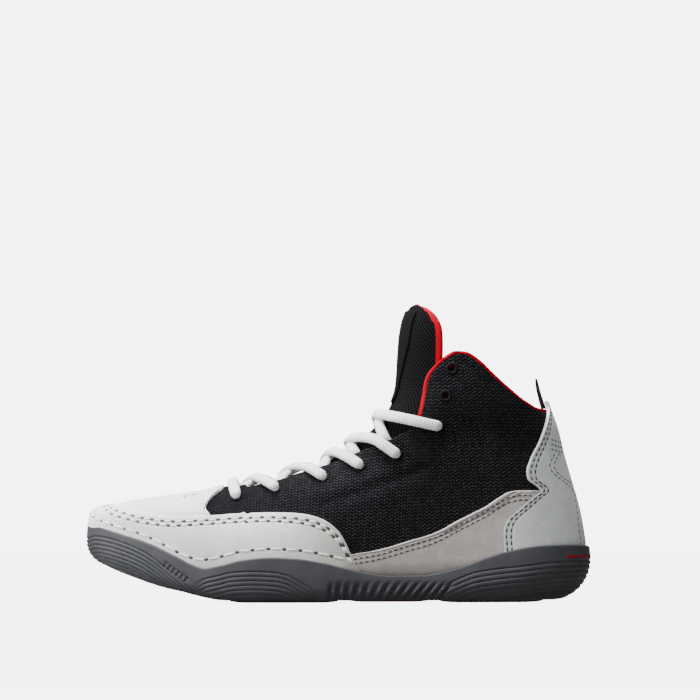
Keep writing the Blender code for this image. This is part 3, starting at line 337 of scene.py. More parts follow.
def floor_height(x):
    return sole_floor(share_along(x)) * TOE_RIM_HEIGHT


def shoulder_height(x):
    return floor_height(x) + SHOULDER_RISE


def rounding(share, power):
    """How full a form still is at this share of the way to where it closes."""
    return (1 - np.clip(share, 0, 1) ** power) ** (1 / power)


def foot_half(x):
    """Half the width of the foot at its shoulder, closed in at the toe."""
    start = along(TOE_TIP + TOE_CLOSING)
    closing = rounding((start - x) / (TOE_CLOSING * LENGTH), PLAN_POWER)
    return plan_half(share_along(x)) * BALL_WIDTH * closing


def foot_ridge(x):
    """The top of the foot, which runs on under the shin at an even slope."""
    start = along(INSTEP_FROM)
    return np.minimum(ridge_height(x), ridge_height(start) + INSTEP_SLOPE * np.maximum(x - start, 0))


def half_width(x, z):
    """Half the width of the closed foot and shin at a place seen from the side."""
    share = z / COLLAR_HEIGHT
    shoulder = shoulder_height(x)
    up = (z - shoulder) / (foot_ridge(x) - shoulder)
    over_foot = rounding(up, SECTION_POWER)
    shin = shin_x(np.maximum(z, shoulder))
    over_shin = rounding((shin + SHIN_CLOSING - x) / SHIN_CLOSING, SECTION_POWER)
    shaft = ease((share - SHAFT_FROM) / (SHAFT_TO - SHAFT_FROM))
    waist = ease((share - WAIST_FROM) / (WAIST_TO - WAIST_FROM))
    width = foot_half(x) * (1 - waist) + SHAFT_WIDTH / 2 * waist
    back = heel_x(z)
    at_heel = rounding((x - back + HEEL_CLOSING) / HEEL_CLOSING, PLAN_POWER)
    full = width * at_heel * (over_foot * (1 - shaft) + over_shin * shaft)
    low = np.clip((shoulder - z) / SHOULDER_RISE, 0, 1)
    return np.maximum(full - FEATHER_TUCK * low**2 * at_heel, 0)


def gone_along(points):
    """How far along a line each of its points lies."""
    return np.concatenate(([0.0], np.cumsum(np.linalg.norm(np.diff(points, axis=0), axis=1))))


def arc_shares(points):
    gone = gone_along(points)
    return gone / gone[-1]


def line_at(places, at, values):
    """The points of a line at these places along it."""
    return np.stack([np.interp(places, at, values[:, k]) for k in range(3)], axis=-1)


def resampled(points, shares):
    """Points at these shares of a line's length."""
    return line_at(shares, arc_shares(points), points)


class Last:
    """The form the shoe is built on, as ribs from the feather line to the edge of throat and collar."""

    RIBS = 240
    ROWS = 90

    def __init__(self):
        halves = {side: self.half(side) for side in (-1, 1)}
        lateral = halves[-1][::-1]
        self.points = np.concatenate([lateral, halves[1][1:]])
        self.places = np.linspace(-1, 1, len(self.points))
        self.shares = np.linspace(0, 1, self.ROWS)
        around = np.concatenate([self.points[-2:-1], self.points, self.points[1:2]])
        across = around[2:] - around[:-2]
        upwards = np.gradient(self.points, axis=1)
        normals = np.cross(upwards, across)
        self.normals = normals / np.linalg.norm(normals, axis=2, keepdims=True)

    def half(self, side):
        """The ribs of one side, from the toe tip to the back of the heel."""
        outline = self.outline(side)
        top_edge = self.top_edge(side)
        at = arc_shares(outline)
        corner = np.interp(along(THROAT_CENTRE), outline[:, 0], at)
        ribs = []
        for place in np.linspace(0, 1, self.RIBS + 1):
            foot = resampled(outline, [place])[0]
            if place <= corner:
                rib = self.toe_rib(foot)
            else:
                top = resampled(top_edge, [(place - corner) / (1 - corner)])[0]
                rib = self.side_rib(foot[0], top, side)
            ribs.append(resampled(rib, np.linspace(0, 1, self.ROWS)))
        return np.array(ribs)

    def outline(self, side):
        """The widest line round the foot, with its points close together where it turns."""
        turn = np.linspace(0, math.pi, 600)
        first, last = along(TOE_TIP), heel_x(HEEL_LEVEL)
        x = first + (last - first) * (1 - np.cos(turn)) / 2
        z = shoulder_height(x)
        y = centre_y(x) + side * half_width(x, np.minimum(z, heel_reach(x)))
        y[0], y[-1] = centre_y(x[0]), centre_y(x[-1])
        return np.stack([x, y, z], axis=1)

    def top_edge(self, side):
        height = table_curve(TOP_EDGE, 1)
        first, last = TOP_EDGE[0][0], TOP_EDGE[-1][0]
        turn = np.linspace(0, math.pi / 2, 600)
        share = first + (last - first) * np.sin(turn)
        x, z = along(share), height(share) * COLLAR_HEIGHT
        x = np.minimum(x, heel_x(z))
        x[-1] = heel_x(z[-1])
        y = centre_y(x) + side * half_width(x, z)
        return np.stack([x, y, z], axis=1)

    def toe_rib(self, foot):
        """A rib that rises from the toe and runs in towards the middle of the throat's round end."""
        middle = np.array([along(THROAT_CENTRE), centre_y(along(THROAT_CENTRE))])
        arm = foot[:2] - middle
        reach = np.linalg.norm(arm)
        shoulder = shoulder_height(foot[0])
        low = np.linspace(1, 0, 30)
        wall_plan = foot[:2] - arm / reach * FEATHER_TUCK * low[:, None] ** 2
        bottom = floor_height(wall_plan[0, 0]) + CLEARANCE
        wall_height = shoulder + (bottom - shoulder) * low
        gap = throat_half()
        inward = 1 - (1 - gap / reach) * np.sin(np.linspace(0, math.pi / 2, 160)) ** 2
        plan = middle + arm * inward[:, None]
        forward = max(0.0, -arm[0]) / reach
        rise = TOE_POWER * forward**3 + SECTION_POWER * (1 - forward**3)
        full = (1 - inward**SECTION_POWER) ** (1 / rise)
        height = shoulder + (ridge_height(plan[:, 0]) - shoulder) * full
        wall = np.column_stack([wall_plan, wall_height])
        dome = np.column_stack([plan, height])
        return np.concatenate([wall, dome[1:]])

    def side_rib(self, foot_x, top, side):
        """A rib that rises from the side or the heel, leaning to end at its place on the top edge."""
        bottom = floor_height(foot_x) + CLEARANCE
        z = bottom + (top[2] - bottom) * np.sin(np.linspace(0, math.pi / 2, 200))
        up = (z - bottom) / (top[2] - bottom)
        heel_foot, heel_top = heel_x(bottom), heel_x(top[2])
        start = min(foot_x, heel_x(HEEL_LEVEL))
        behind = ease((start - heel_foot + 2 * HEEL_CLOSING) / (2 * HEEL_CLOSING))
        back = heel_x(HEEL_LEVEL)
        near = start - back + heel_foot if behind > 0.999 else start - (back - heel_foot) * behind
        straight = near + (top[0] - near) * up
        heel_straight = heel_foot + (heel_top - heel_foot) * up
        x = straight + behind * (heel_x(z) - heel_straight)
        x = np.minimum(x, heel_x(z))
        y = centre_y(x) + side * half_width(x, z)
        return np.column_stack([x, y, z])

    def skin(self, place, share, offset=0.0):
        """The point on a rib at a share of its length, moved out along the surface's normal."""
        place, share = np.broadcast_arrays(np.asarray(place, float), np.asarray(share, float))
        beyond = np.maximum(share - 1, 0)[..., None]
        inside = np.clip(share, 0, 1)
        i = np.clip(np.searchsorted(self.places, place) - 1, 0, len(self.places) - 2)
        j = np.clip((inside * (self.ROWS - 1)).astype(int), 0, self.ROWS - 2)
        a = ((place - self.places[i]) / (self.places[i + 1] - self.places[i]))[..., None]
        b = (inside * (self.ROWS - 1) - j)[..., None]

        def mixed(grid):
            low = grid[i, j] * (1 - a) + grid[i + 1, j] * a
            high = grid[i, j + 1] * (1 - a) + grid[i + 1, j + 1] * a
            return low * (1 - b) + high * b, (high - low) * (self.ROWS - 1)

        point, rising = mixed(self.points)
        normal, _ = mixed(self.normals)
        return point + rising * beyond + normal * offset

    def share_at_height(self, place, z):
        """The share of a rib that lies at a height, past 1 where the rib ends lower."""
        line = self.skin(place, self.shares)[:, 2]
        if z > line[-1]:
            step = line[-1] - line[-2]
            return 1 + (z - line[-1]) / step / (self.ROWS - 1)
        return float(np.interp(z, line, self.shares))

    def shares_at(self, places, heights):
        """The share of each rib that lies at its height."""
        return np.array([self.share_at_height(place, z) for place, z in zip(places, heights)])

    def path(self, x, z, side):
        """Ribs and shares of the places of a line seen from the side."""
        places = np.array([self.place_at(a, b, side) for a, b in zip(x, z)])
        return places, self.shares_at(places, z)

    def place_at(self, x, z, side):
        """The rib that passes a place seen from the side."""
        before, reached = 1.0, self.skin(side, self.share_at_height(side, z))[0]
        for place in np.linspace(1, 0.02, 200)[1:]:
            found = self.skin(side * place, self.share_at_height(side * place, z))[0]
            if found <= x:
                t = (x - found) / max(reached - found, 1e-9)
                return side * (place + (before - place) * min(t, 1))
            before, reached = place, found
        return side * before


def heel_reach(x):
    """The height at which the heel still reaches this far back."""
    return np.where(x > along(0.95), HEEL_LEVEL, shoulder_height(x))


def throat_half():
    """Half the width of the throat at its round end."""
    return (THROAT_CENTRE - THROAT_BASE) * LENGTH


last = Last()


def middle_line(edge, lift):
    """Points under the middle of the shoe, one for each pair of ribs of a ring."""
    half = len(edge) // 2
    x = np.array([(edge[i][0] + edge[-i][0]) / 2 for i in range(half + 1)])
    start, end = x.min(), x.max()
    front, rear = start + 0.12 * LENGTH, end - 0.10 * LENGTH
    inner = front + (x - start) / (end - start) * (rear - front)
    return np.column_stack([inner, centre_y(inner), lift(inner)])


def towards_middle(edge, spine, share, lift):
    """A ring part of the way from an edge to the middle line, at its own height."""
    count = len(edge)
    pairing = [min(i, count - i) for i in range(count)]
    ring = edge * (1 - share) + spine[pairing] * share
    ring[:, 2] = lift(ring[:, 0])
    return ring


def underside_height(x):
    return sole_underside(share_along(x)) * TOE_RIM_HEIGHT


def rim_height(places):
    """The height of the rubber's upper edge at each rib."""
    return sole_rim(share_along(last.skin(places, 0.1)[..., 0])) * TOE_RIM_HEIGHT


def rim_ring(places, offset):
    """The line of the rubber's upper edge, at some distance out from the last."""
    return last.skin(places, last.shares_at(places, rim_height(places)), offset)


def flat_normals(places, ring):
    """Level directions that point out of a ring."""
    before, after = np.roll(ring, 1, axis=0), np.roll(ring, -1, axis=0)
    way = after - before
    out = np.column_stack([-way[:, 1], way[:, 0], np.zeros(len(way))])
    out /= np.linalg.norm(out, axis=1, keepdims=True)
    centre = ring.mean(axis=0)
    sign = np.sign(((ring - centre) * out).sum())
    return out * sign


class Front:
    """The front of the closed form, by share of the ridge line's length and distance round from it."""

    ROWS = 160
    REACH = 66 * MM
    DEPTH = 80 * MM

    def __init__(self):
        self.ridge, self.inward = self.ridge_line()
        self.shares = np.linspace(0, 1, self.ROWS)
        self.across = self.REACH * np.linspace(-1, 1, 133)
        sections = [self.section(p, way) for p, way in zip(self.ridge, self.inward)]
        self.points = np.array(sections)
        upwards = np.gradient(self.points, axis=0)
        sideways = np.gradient(self.points, axis=1)
        normals = np.cross(upwards, sideways)
        self.normals = normals / np.linalg.norm(normals, axis=2, keepdims=True)

    def ridge_line(self):
        """Points and inward directions along the ridge, from the throat to the tongue's tip."""
        t = np.linspace(0, 1, 800)
        key = np.linspace(0, 1, len(RIDGE))
        x, z = (table_curve(list(zip(key, values)), 1)(t) for values in zip(*RIDGE))
        x, z = along(x), height_of(z)
        keep = x >= along(TONGUE_START)
        line = np.column_stack([x[keep], np.zeros(keep.sum()), z[keep]])
        points = resampled(line, np.linspace(0, 1, self.ROWS))
        way = np.gradient(points, axis=0)
        way /= np.linalg.norm(way, axis=1, keepdims=True)
        inward = np.column_stack([way[:, 2], np.zeros(self.ROWS), -way[:, 0]])
        level = ease((points[:, 2] / COLLAR_HEIGHT - 0.62) / 0.20)[:, None]
        inward = inward * (1 - level) + np.array([1.0, 0, 0]) * level
        inward /= np.linalg.norm(inward, axis=1, keepdims=True)
        return points, inward

    def section(self, point, inward):
        """The line round the form from one side to the other through a ridge point."""
        behind = np.linspace(0, 1, 500) ** 2 * self.DEPTH
        line = point + inward * behind[:, None]
        width = half_width(line[:, 0], line[:, 2])
        width[0] = 0.0
        steps = np.hypot(np.diff(behind), np.diff(width))
        gone = np.concatenate(([0.0], np.cumsum(steps)))
        x, z, half = (
            np.interp(np.abs(self.across), gone, values)
            for values in (line[:, 0], line[:, 2], width)
        )
        return np.column_stack([x, centre_y(x) + np.sign(self.across) * half, z])

    def at(self, shares, across, depths=0.0):
        """Points at distances round from the ridge, sunk in by their depths, and the normals there."""
        a = np.clip(shares, 0, 1) * (self.ROWS - 1)
        i = np.minimum(a.astype(int), self.ROWS - 2)
        b = (np.clip(across / self.REACH, -1, 1) + 1) / 2 * (len(self.across) - 1)
        j = np.minimum(b.astype(int), len(self.across) - 2)
        a, b = (a - i)[..., None], (b - j)[..., None]

        def mixed(grid):
            low = grid[i, j] * (1 - b) + grid[i, j + 1] * b
            high = grid[i + 1, j] * (1 - b) + grid[i + 1, j + 1] * b
            return low * (1 - a) + high * a

        normals = mixed(self.normals)
        normals /= np.linalg.norm(normals, axis=-1, keepdims=True)
        return mixed(self.points) - normals * np.asarray(depths)[..., None], normals

    def find(self, x, z, side):
        """The share and the distance round from the ridge of a place seen from the side."""
        half = self.points.shape[1] // 2
        part = self.points[:, half:] if side > 0 else self.points[:, : half + 1]
        gaps = np.hypot(part[:, :, 0] - x, part[:, :, 2] - z)
        i, j = np.unravel_index(np.argmin(gaps), gaps.shape)
        across = self.across[half:] if side > 0 else self.across[: half + 1]
        return float(self.shares[i]), float(across[j])

    def edge(self, share, side):
        """How far round from the ridge the edge of the throat lies."""
        height = table_curve(TOP_EDGE, 1)
        for y in np.linspace(0, self.REACH, 200):
            point, _ = self.at(share, side * y)
            if point[2] <= height(share_along(point[0])) * COLLAR_HEIGHT:
                return float(side * y)
        return float(side * self.REACH)


front = Front()


def tongue_top():
    return WALL + 2 * CURVED_CLEARANCE


def eyelet_spot(row):
    """The X and Z of an eyelet seen from the side."""
    return along(EYELETS[row][0]), EYELETS[row][1] * COLLAR_HEIGHT


def eyelet_frame(row, side):
    """The middle, outward direction and upward direction of an eyelet on the upper."""
    x, z = eyelet_spot(row)
    place = last.place_at(x, z, side)
    share = last.share_at_height(place, z)
    point = last.skin(place, share)
    out = last.skin(place, share, 1.0) - point
    rise = last.skin(place, share + 0.01) - point
    rise /= np.linalg.norm(rise)
    return Vector(point), Vector(out).normalized(), Vector(rise)


PANELS = ("side_panel_lateral", "side_panel_medial")

# Looks: how far the fine pieces stand out from the last.
SHELL = 1.4 * MM
SUEDE_INNER = 0.0 * MM
SUEDE_OUTER = 1.65 * MM
CUP_INNER = 1.75 * MM
RIM_OUTER = 3.6 * MM
TONGUE_BINDING = 4.8 * MM
UNDER_FLAP = 3.3 * MM
OVER_RING = -2.5 * MM
CORD_WIDTH = 6.2 * MM
LACE_HEIGHT = 4.2 * MM

# How far the guard's lower row of stitches runs above the rubber, in mm, by places along the shoe.
BASE_SEAM_RISE = ((0.03, 3.4), (0.12, 3.5), (0.19, 2.6), (0.25, 4.9))

# The dark backing of an empty eyelet, as the radius and rise of its four edges.
BACKING_RADIUS = np.array([0.01, 2.5, 2.5, 0.01]) * MM
BACKING_RISE = np.array([0.0, 0.0, 0.4, 0.4]) * MM

# The flutes of the arch.
FLUTES_FROM = -8 * MM
FLUTES_TO = 58 * MM
FLUTE_PITCH = 4.7 * MM
FLUTE_TOP = 13.5 * MM

# The line of vent marks on the vamp, from end to end, as X and Z in mm.
VENT_LINE = ((-90.5, 58.9), (-80.5, 61.0))

# The line of short ticks, from its toe end to its low end, as X and Z in mm.
TICK_LINE = ((-101.0, 23.6), (-84.5, 11.8))

# The camera: level, side on, from far off.
CAMERA_DISTANCE = 8.0
FRAME_WIDTH = 402.5 * MM
AIM_X = 6.6 * MM
AIM_Z = 144.7 * MM

# Light.
BACKDROP_LIGHT = 6.3
ROOM_LIGHT = 0.2
FLOOR_STRENGTH = 0.12

# The tops of the three grooved bands of the sole's side. Shares of LENGTH and of TOE_RIM_HEIGHT.
TOE_BAND = (
    # along, height
    (-0.010, 0.780), (0.0035, 0.800), (0.0210, 0.840), (0.0410, 0.822), (0.0765, 0.758),
    (0.1065, 0.680), (0.1360, 0.567), (0.1660, 0.413), (0.1955, 0.260), (0.2193, 0.130),
)
BALL_BAND = (
    # along, height
    (0.2060, 0.120), (0.2228, 0.250), (0.2403, 0.311), (0.2652, 0.349), (0.2907, 0.387),
    (0.3286, 0.400), (0.3741, 0.387), (0.4000, 0.349), (0.4255, 0.260), (0.4514, 0.158),
    (0.4652, 0.060),
)
HEEL_BAND = (
    # along, height
    (0.6993, 0.060), (0.7107, 0.213), (0.7369, 0.302), (0.7745, 0.389), (0.8203, 0.433),
    (0.8659, 0.464), (0.9114, 0.502), (0.9462, 0.520), (1.0100, 0.540),
)

# How much of the red lining shows along the edge of throat and collar, in mm.
LINING_SHOWS = (
    # along, width
    (0.30, 0.0), (0.645, 0.0), (0.655, 0.0), (0.6615, 1.9), (0.672, 2.3), (0.690, 1.7),
    (0.730, 1.5), (0.850, 1.5), (0.930, 1.4),
)

# The line of the backstay's seam round the heel. Shares of LENGTH and of COLLAR_HEIGHT.
BACKSTAY = (
    # along, height
    (0.9252, 0.598), (0.9166, 0.562), (0.9134, 0.538), (0.9193, 0.514), (0.9352, 0.4865),
    (0.9500, 0.463), (0.9621, 0.431), (0.9648, 0.389), (0.9679, 0.345), (0.9710, 0.2955),
    (0.9748, 0.2298),
)

# Creases of the knit, as soft lines on the side view. Shares of LENGTH and of COLLAR_HEIGHT.
CREASES = (
    # along, height, to_along, to_height, width_mm, depth_mm
    (0.468, 0.388, 0.680, 0.535, 3.0, -0.75),
    (0.462, 0.420, 0.680, 0.575, 5.5, 0.70),
    (0.480, 0.350, 0.690, 0.495, 5.5, 0.50),
    (0.600, 0.560, 0.700, 0.480, 7.0, -0.70),
    (0.640, 0.620, 0.760, 0.540, 8.0, 0.70),
    (0.690, 0.740, 0.800, 0.640, 9.0, -0.80),
    (0.740, 0.900, 0.860, 0.740, 10.0, 0.70),
    (0.820, 0.700, 0.880, 0.560, 7.0, -0.60),
    (0.300, 0.375, 0.420, 0.400, 6.0, -0.45),
    (0.380, 0.440, 0.520, 0.440, 7.0, 0.55),
)


# The CAD's origin lies under the middle of its box, a little off the last's own.
tread_low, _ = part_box("forefoot_tread")
tab_low, tab_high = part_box("pull_tab")
SHIFT = np.array([tread_low.x - along(BALL_PAD[0]), (tab_low.y + tab_high.y) / 2, 0.0])


def relief(points):
    """How far the creases lift or sink the surface at each point."""
    total = np.zeros(points.shape[:-1])
    flat = points[..., [0, 2]]
    for along_1, height_1, along_2, height_2, width, depth in CREASES:
        a = np.array([along(along_1), height_1 * COLLAR_HEIGHT])
        b = np.array([along(along_2), height_2 * COLLAR_HEIGHT])
        way = b - a
        t = ((flat - a) @ way) / (way @ way)
        inside = ease(np.clip((t + 0.15) / 0.3, 0, 1)) * ease(np.clip((1.15 - t) / 0.3, 0, 1))
        gap = np.linalg.norm(flat - (a + np.clip(t, 0, 1)[..., None] * way), axis=-1)
        total += depth * MM * inside * np.exp(-((gap / (width * MM)) ** 2))
    return total


def surface(place, share, offset=0.0):
    """Points on the creased form, moved out along its normals."""
    point = last.skin(place, share, 0.0)
    out = last.skin(place, share, 1.0) - point
    out /= np.linalg.norm(out, axis=-1, keepdims=True)
    lift = relief(point) + offset
    return point + out * np.asarray(lift)[..., None]


class Lengths:
    """How long each rib is, for patterns and edges that keep their size."""

    def __init__(self):
        steps = np.linalg.norm(np.diff(last.points, axis=1), axis=2)
        self.ribs = steps.sum(axis=1)
        self.around = gone_along(last.skin(last.places, 0.25))

    def rib(self, place):
        return np.interp(place, last.places, self.ribs)

    def round(self, place):
        return np.interp(place, last.places, self.around)


lengths = Lengths()


# Meshes.


def new_mesh(name, points, faces, materials, face_materials=None, uvs=None, smooth=60):
    """An object from points and faces, with a map in metres where one is given."""
    mesh = bpy.data.meshes.new(name)
    mesh.from_pydata((np.asarray(points) + SHIFT).tolist(), [], [tuple(f) for f in faces])
    for finish in materials:
        mesh.materials.append(finish)
    if face_materials is not None:
        mesh.polygons.foreach_set("material_index", np.asarray(face_materials, np.int32))
    if uvs is not None:
        layer = mesh.uv_layers.new(name="cloth")
        corners = np.empty(len(mesh.loops), np.int32)
        mesh.loops.foreach_get("vertex_index", corners)
        layer.data.foreach_set("uv", np.asarray(uvs, np.float32)[corners].ravel())
    work = bmesh.new()
    work.from_mesh(mesh)
    bmesh.ops.recalc_face_normals(work, faces=work.faces)
    work.to_mesh(mesh)
    work.free()
    mesh.shade_smooth()
    mesh.set_sharp_from_angle(angle=math.radians(smooth))
    made = bpy.data.objects.new(name, mesh)
    bpy.context.scene.collection.objects.link(made)
    return made


def grid_faces(rows, columns, closed_columns=False, closed_rows=False):
    """Faces of a grid of points, as an array of corner numbers."""
    i = np.arange(rows if closed_rows else rows - 1)
    j = np.arange(columns if closed_columns else columns - 1)
    i, j = np.meshgrid(i, j, indexing="ij")
    k, m = (i + 1) % rows, (j + 1) % columns
    at = [i * columns + j, i * columns + m, k * columns + m, k * columns + j]
    return np.stack(at, axis=-1).reshape(-1, 4)


def even_ring(spacing):
    """Ribs right round the shoe at an even spacing, lateral heel to toe to medial heel."""
    total = lengths.around[-1]
    count = round(total / spacing)
    return np.interp(np.linspace(0, total, count, endpoint=False), lengths.around, last.places)


def spread(first, final, spacing):
    """Ribs between two others at an even spacing, with both ends."""
    a, b = lengths.round(first), lengths.round(final)
    count = max(2, round(abs(b - a) / spacing) + 1)
    return np.interp(np.linspace(a, b, count), lengths.around, last.places)


def cloth_map(places, shares):
    """A map in metres: round the shoe, and up each rib."""
    return np.stack([lengths.round(places), shares * lengths.rib(places)], axis=-1)


def near_eyelets(points, radius):
    """Which points lie within a distance of an eyelet."""
    hit = np.zeros(points.shape[:-1], bool)
    for side in (-1, 1):
        for row in range(len(EYELETS)):
            centre = np.array(eyelet_frame(row, side)[0])
            hit |= np.linalg.norm(points - centre, axis=-1) < radius
    return hit


def from_top_edge(points):
    """How far points lie from the edge of throat and collar."""
    edge = last.skin(last.places, 1.0)
    flat = points.reshape(-1, 3)
    found = np.full(len(flat), np.inf)
    for a, b in zip(edge[:-1], edge[1:]):
        way = b - a
        t = np.clip((flat - a) @ way / max(way @ way, 1e-12), 0, 1)
        found = np.minimum(found, np.linalg.norm(flat - (a + t[:, None] * way), axis=1))
    return found.reshape(points.shape[:-1])


def knit_tops(places):
    """The share at which the knit ends on each rib, and how much red lining shows beyond it."""
    showing = table_curve(LINING_SHOWS, 1)
    tops = []
    shares = np.linspace(0.86, 1, 60)
    grid = last.skin(places[None, :], shares[:, None])
    gaps = from_top_edge(grid)
    shown = np.maximum(showing(share_along(grid[-1, :, 0])), 0) * MM
    for column, show in enumerate(shown):
        inside = np.nonzero(gaps[:, column] >= show)[0]
        tops.append(shares[inside[-1]] if len(inside) else shares[0])
    return np.array(tops), shown


def shell(finishes):
    """The knitted outside of the upper, and the red lining that is folded over its edge."""
    black, red = finishes
    places = even_ring(1.9 * MM)
    tops, shown = knit_tops(places)
    made = []
    for name, finish, count in (("upper_knit", black, 74), ("upper_lining", red, 90)):
        knitted = name == "upper_knit"
        shares = np.linspace(0, 1, count) ** 0.85
        grid_shares = shares[:, None] * (tops if knitted else np.ones(len(places)))
        grid_places = np.broadcast_to(places, grid_shares.shape)
        end = grid_shares[-1]
        round_in = 0.35 * MM * fallen((end - grid_shares) * lengths.rib(grid_places), 0.7 * MM)
        outer, inner = np.zeros(grid_shares.shape), np.full(grid_shares.shape, -SHELL)
        if not knitted:
            gaps = from_top_edge(last.skin(grid_places, grid_shares))
            fold = ease((shown + 0.9 * MM - gaps) / (0.8 * MM)) * (shown > 0.3 * MM)
            outer, inner = -SHELL + (SHELL - 0.15 * MM) * fold, np.full(grid_shares.shape, -WALL)
        outside = surface(grid_places, grid_shares, outer - round_in)
        inside = surface(grid_places, grid_shares, inner + round_in)
        points = np.concatenate([outside, inside[::-1]])
        uvs = cloth_map(grid_places, grid_shares)
        uvs = np.concatenate([uvs, uvs[::-1]]).reshape(-1, 2)
        faces = grid_faces(2 * count, len(places), True, True)
        middles = points.reshape(-1, 3)[faces].mean(axis=1)
        hollow = near_eyelets(middles, 2.2 * MM)
        made.append(new_mesh(name, points.reshape(-1, 3), faces[~hollow], [finish], None, uvs))
    return made


def sheet_faces(rows, columns):
    """Faces of two grids of points, one over the other, with walls between their edges."""
    top = grid_faces(rows, columns)
    number = np.arange(rows * columns).reshape(rows, columns)
    sides = []
    for line in (number[0], number[-1], number[:, 0], number[:, -1]):
        below = line + rows * columns
        sides.append(np.stack([line[:-1], line[1:], below[1:], below[:-1]], axis=-1))
    return np.concatenate([top, top[:, ::-1] + rows * columns, *sides])


def closed_sheet(name, outer, inner, finishes, slots=None, uvs=None):
    """A closed piece between two grids of points."""
    points = np.concatenate([outer.reshape(-1, 3), inner.reshape(-1, 3)])
    doubled = None if uvs is None else np.concatenate([uvs.reshape(-1, 2)] * 2)
    return new_mesh(name, points, sheet_faces(*outer.shape[:2]), finishes, slots, doubled)


def fallen(gap, radius):
    """How far a rounded edge has fallen away at a distance in from it, as a share of its depth."""
    return 1 - np.sqrt(1 - np.clip(1 - gap / radius, 0, 1) ** 2)


def squared(values, power):
    """A sine or cosine made fuller or slimmer, for rounds with flatter or sharper sides."""
    return np.sign(values) * np.abs(values) ** power


def edge_profile(gap, thickness, reach=0.9 * MM):
    """How far the outside of a cut edge has risen at a distance in from the edge."""
    return thickness * (1 - fallen(gap, reach))


def seam_dip(gap, seams):
    """How far a line of stitches pulls the suede in."""
    dip = np.zeros_like(gap)
    for seam in seams:
        dip += 0.38 * MM * np.exp(-(((gap - seam * MM) / (0.65 * MM)) ** 2))
    return dip


def cut_gaps(reach):
    """Distances in from a cut edge, close together near it."""
    near = np.array([0, 0.06, 0.15, 0.3, 0.5, 0.75, 1.0]) * MM
    return np.concatenate([near, np.arange(1.4, reach, 0.4) * MM])


def suede_strip(name, places, low, high, seams, finishes):
    """A piece of suede between two lines on the ribs, its top edge cut and stitched."""
    gaps = cut_gaps(8.0)
    long = lengths.rib(places)
    near = np.maximum(high - gaps[:, None] / long, low + 0.02 * (high - low))
    rest = near[-1] + (low - near[-1]) * np.linspace(0, 1, 26)[1:, None]
    shares = np.concatenate([near, rest])
    edge_gaps = np.concatenate([gaps[:, None] + 0 * near, (high - rest) * long])
    around = lengths.round(places)
    nearest = np.minimum(edge_gaps, np.abs(np.minimum(around - around[0], around[-1] - around)))
    offset = SUEDE_INNER + edge_profile(nearest, SUEDE_OUTER) - seam_dip(edge_gaps, seams)
    grid_places = np.broadcast_to(places, shares.shape)
    return sheet_piece(name, grid_places, shares, offset, nearest, finishes)


def toe_fullness(points):
    """How far the padded toe stands out further, down by the rubber."""
    ahead = (points[..., 0] - along(TOE_TIP)) / (16 * MM)
    low = ease((0.395 * COLLAR_HEIGHT - points[..., 2]) / (14 * MM))
    return 2.3 * MM * np.exp(-(ahead**2)) * low


def sheet_piece(name, places, shares, offset, gaps, finishes, pale=0.35 * MM):
    """A closed piece of suede from its ribs, shares and outer offsets, with a pale cut edge."""
    outer = surface(places, shares, offset + toe_fullness(last.skin(places, shares)))
    inner = surface(places, shares, SUEDE_INNER - 0.3 * MM)
    middles = gaps.reshape(-1)[grid_faces(*shares.shape)].mean(axis=1)
    slots = np.ones(len(sheet_faces(*shares.shape)), int)
    slots[: 2 * len(middles)] = np.concatenate([middles < pale, np.zeros(len(middles))])
    return closed_sheet(name, outer, inner, finishes, slots, cloth_map(places, shares))


def spaced(path, pitch):
    """How far along each point of a line lies, and evenly spaced places along it."""
    gone = gone_along(path)
    count = max(1, int(gone[-1] / pitch))
    starts = (np.arange(count) + 0.5) * gone[-1] / count
    return gone, starts


def stitches(path, ups, pitch, length, radius, sink, shift=0.0, flat=1.0):
    """Short rounded threads along a line: their points and faces."""
    gone, middles = spaced(path, pitch)
    middles = middles + shift * pitch
    at = np.array([-0.5, -0.40, -0.2, 0.2, 0.40, 0.5])
    full = np.array([0.35, 0.85, 1.0, 1.0, 0.85, 0.35])
    depth = np.array([1.0, 0.35, 0.0, 0.0, 0.35, 1.0])
    places = middles[:, None] + at[None, :] * length
    line, up = line_at(places, gone, path), line_at(places, gone, ups)
    up /= np.linalg.norm(up, axis=-1, keepdims=True)
    first, final = (line_at(middles + end * length, gone, path) for end in (-0.2, 0.2))
    way = np.broadcast_to((final - first)[:, None], line.shape)
    across = np.cross(way, up)
    across /= np.linalg.norm(across, axis=-1, keepdims=True) + 1e-12
    line = line - up * (depth * sink)[None, :, None]
    turn = np.linspace(0, 2 * math.pi, 6, endpoint=False)
    wide = (np.cos(turn)[:, None] * radius * full[None, :]).T[None, :, :, None]
    high = (np.sin(turn)[:, None] * radius * flat * full[None, :]).T[None, :, :, None]
    ring = line[:, :, None] + across[:, :, None] * wide + up[:, :, None] * high
    points = ring.reshape(-1, 3)
    rings = len(at)
    one = grid_faces(rings, 6, True)
    faces = (one[None] + (np.arange(len(middles)) * rings * 6)[:, None, None]).reshape(-1, 4)
    caps = []
    for start in range(0, len(middles) * rings * 6, rings * 6):
        caps += [[*range(start, start + 6)][::-1], [*range(start + (rings - 1) * 6, start + rings * 6)]]
    return points, faces.tolist() + caps


class Thread:
    """Gathers stitches into one joined mesh."""

    def __init__(self):
        self.points, self.faces, self.count = [], [], 0

    def add(self, path, ups, pitch, length, radius, sink=0.2 * MM, shift=0.0, flat=1.0):
        points, faces = stitches(path, ups, pitch, length, radius, sink, shift, flat)
        self.points.append(points)
        self.faces += [[n + self.count for n in face] for face in faces]
        self.count += len(points)

    def build(self, name, finish):
        return new_mesh(name, np.concatenate(self.points), self.faces, [finish], smooth=80)


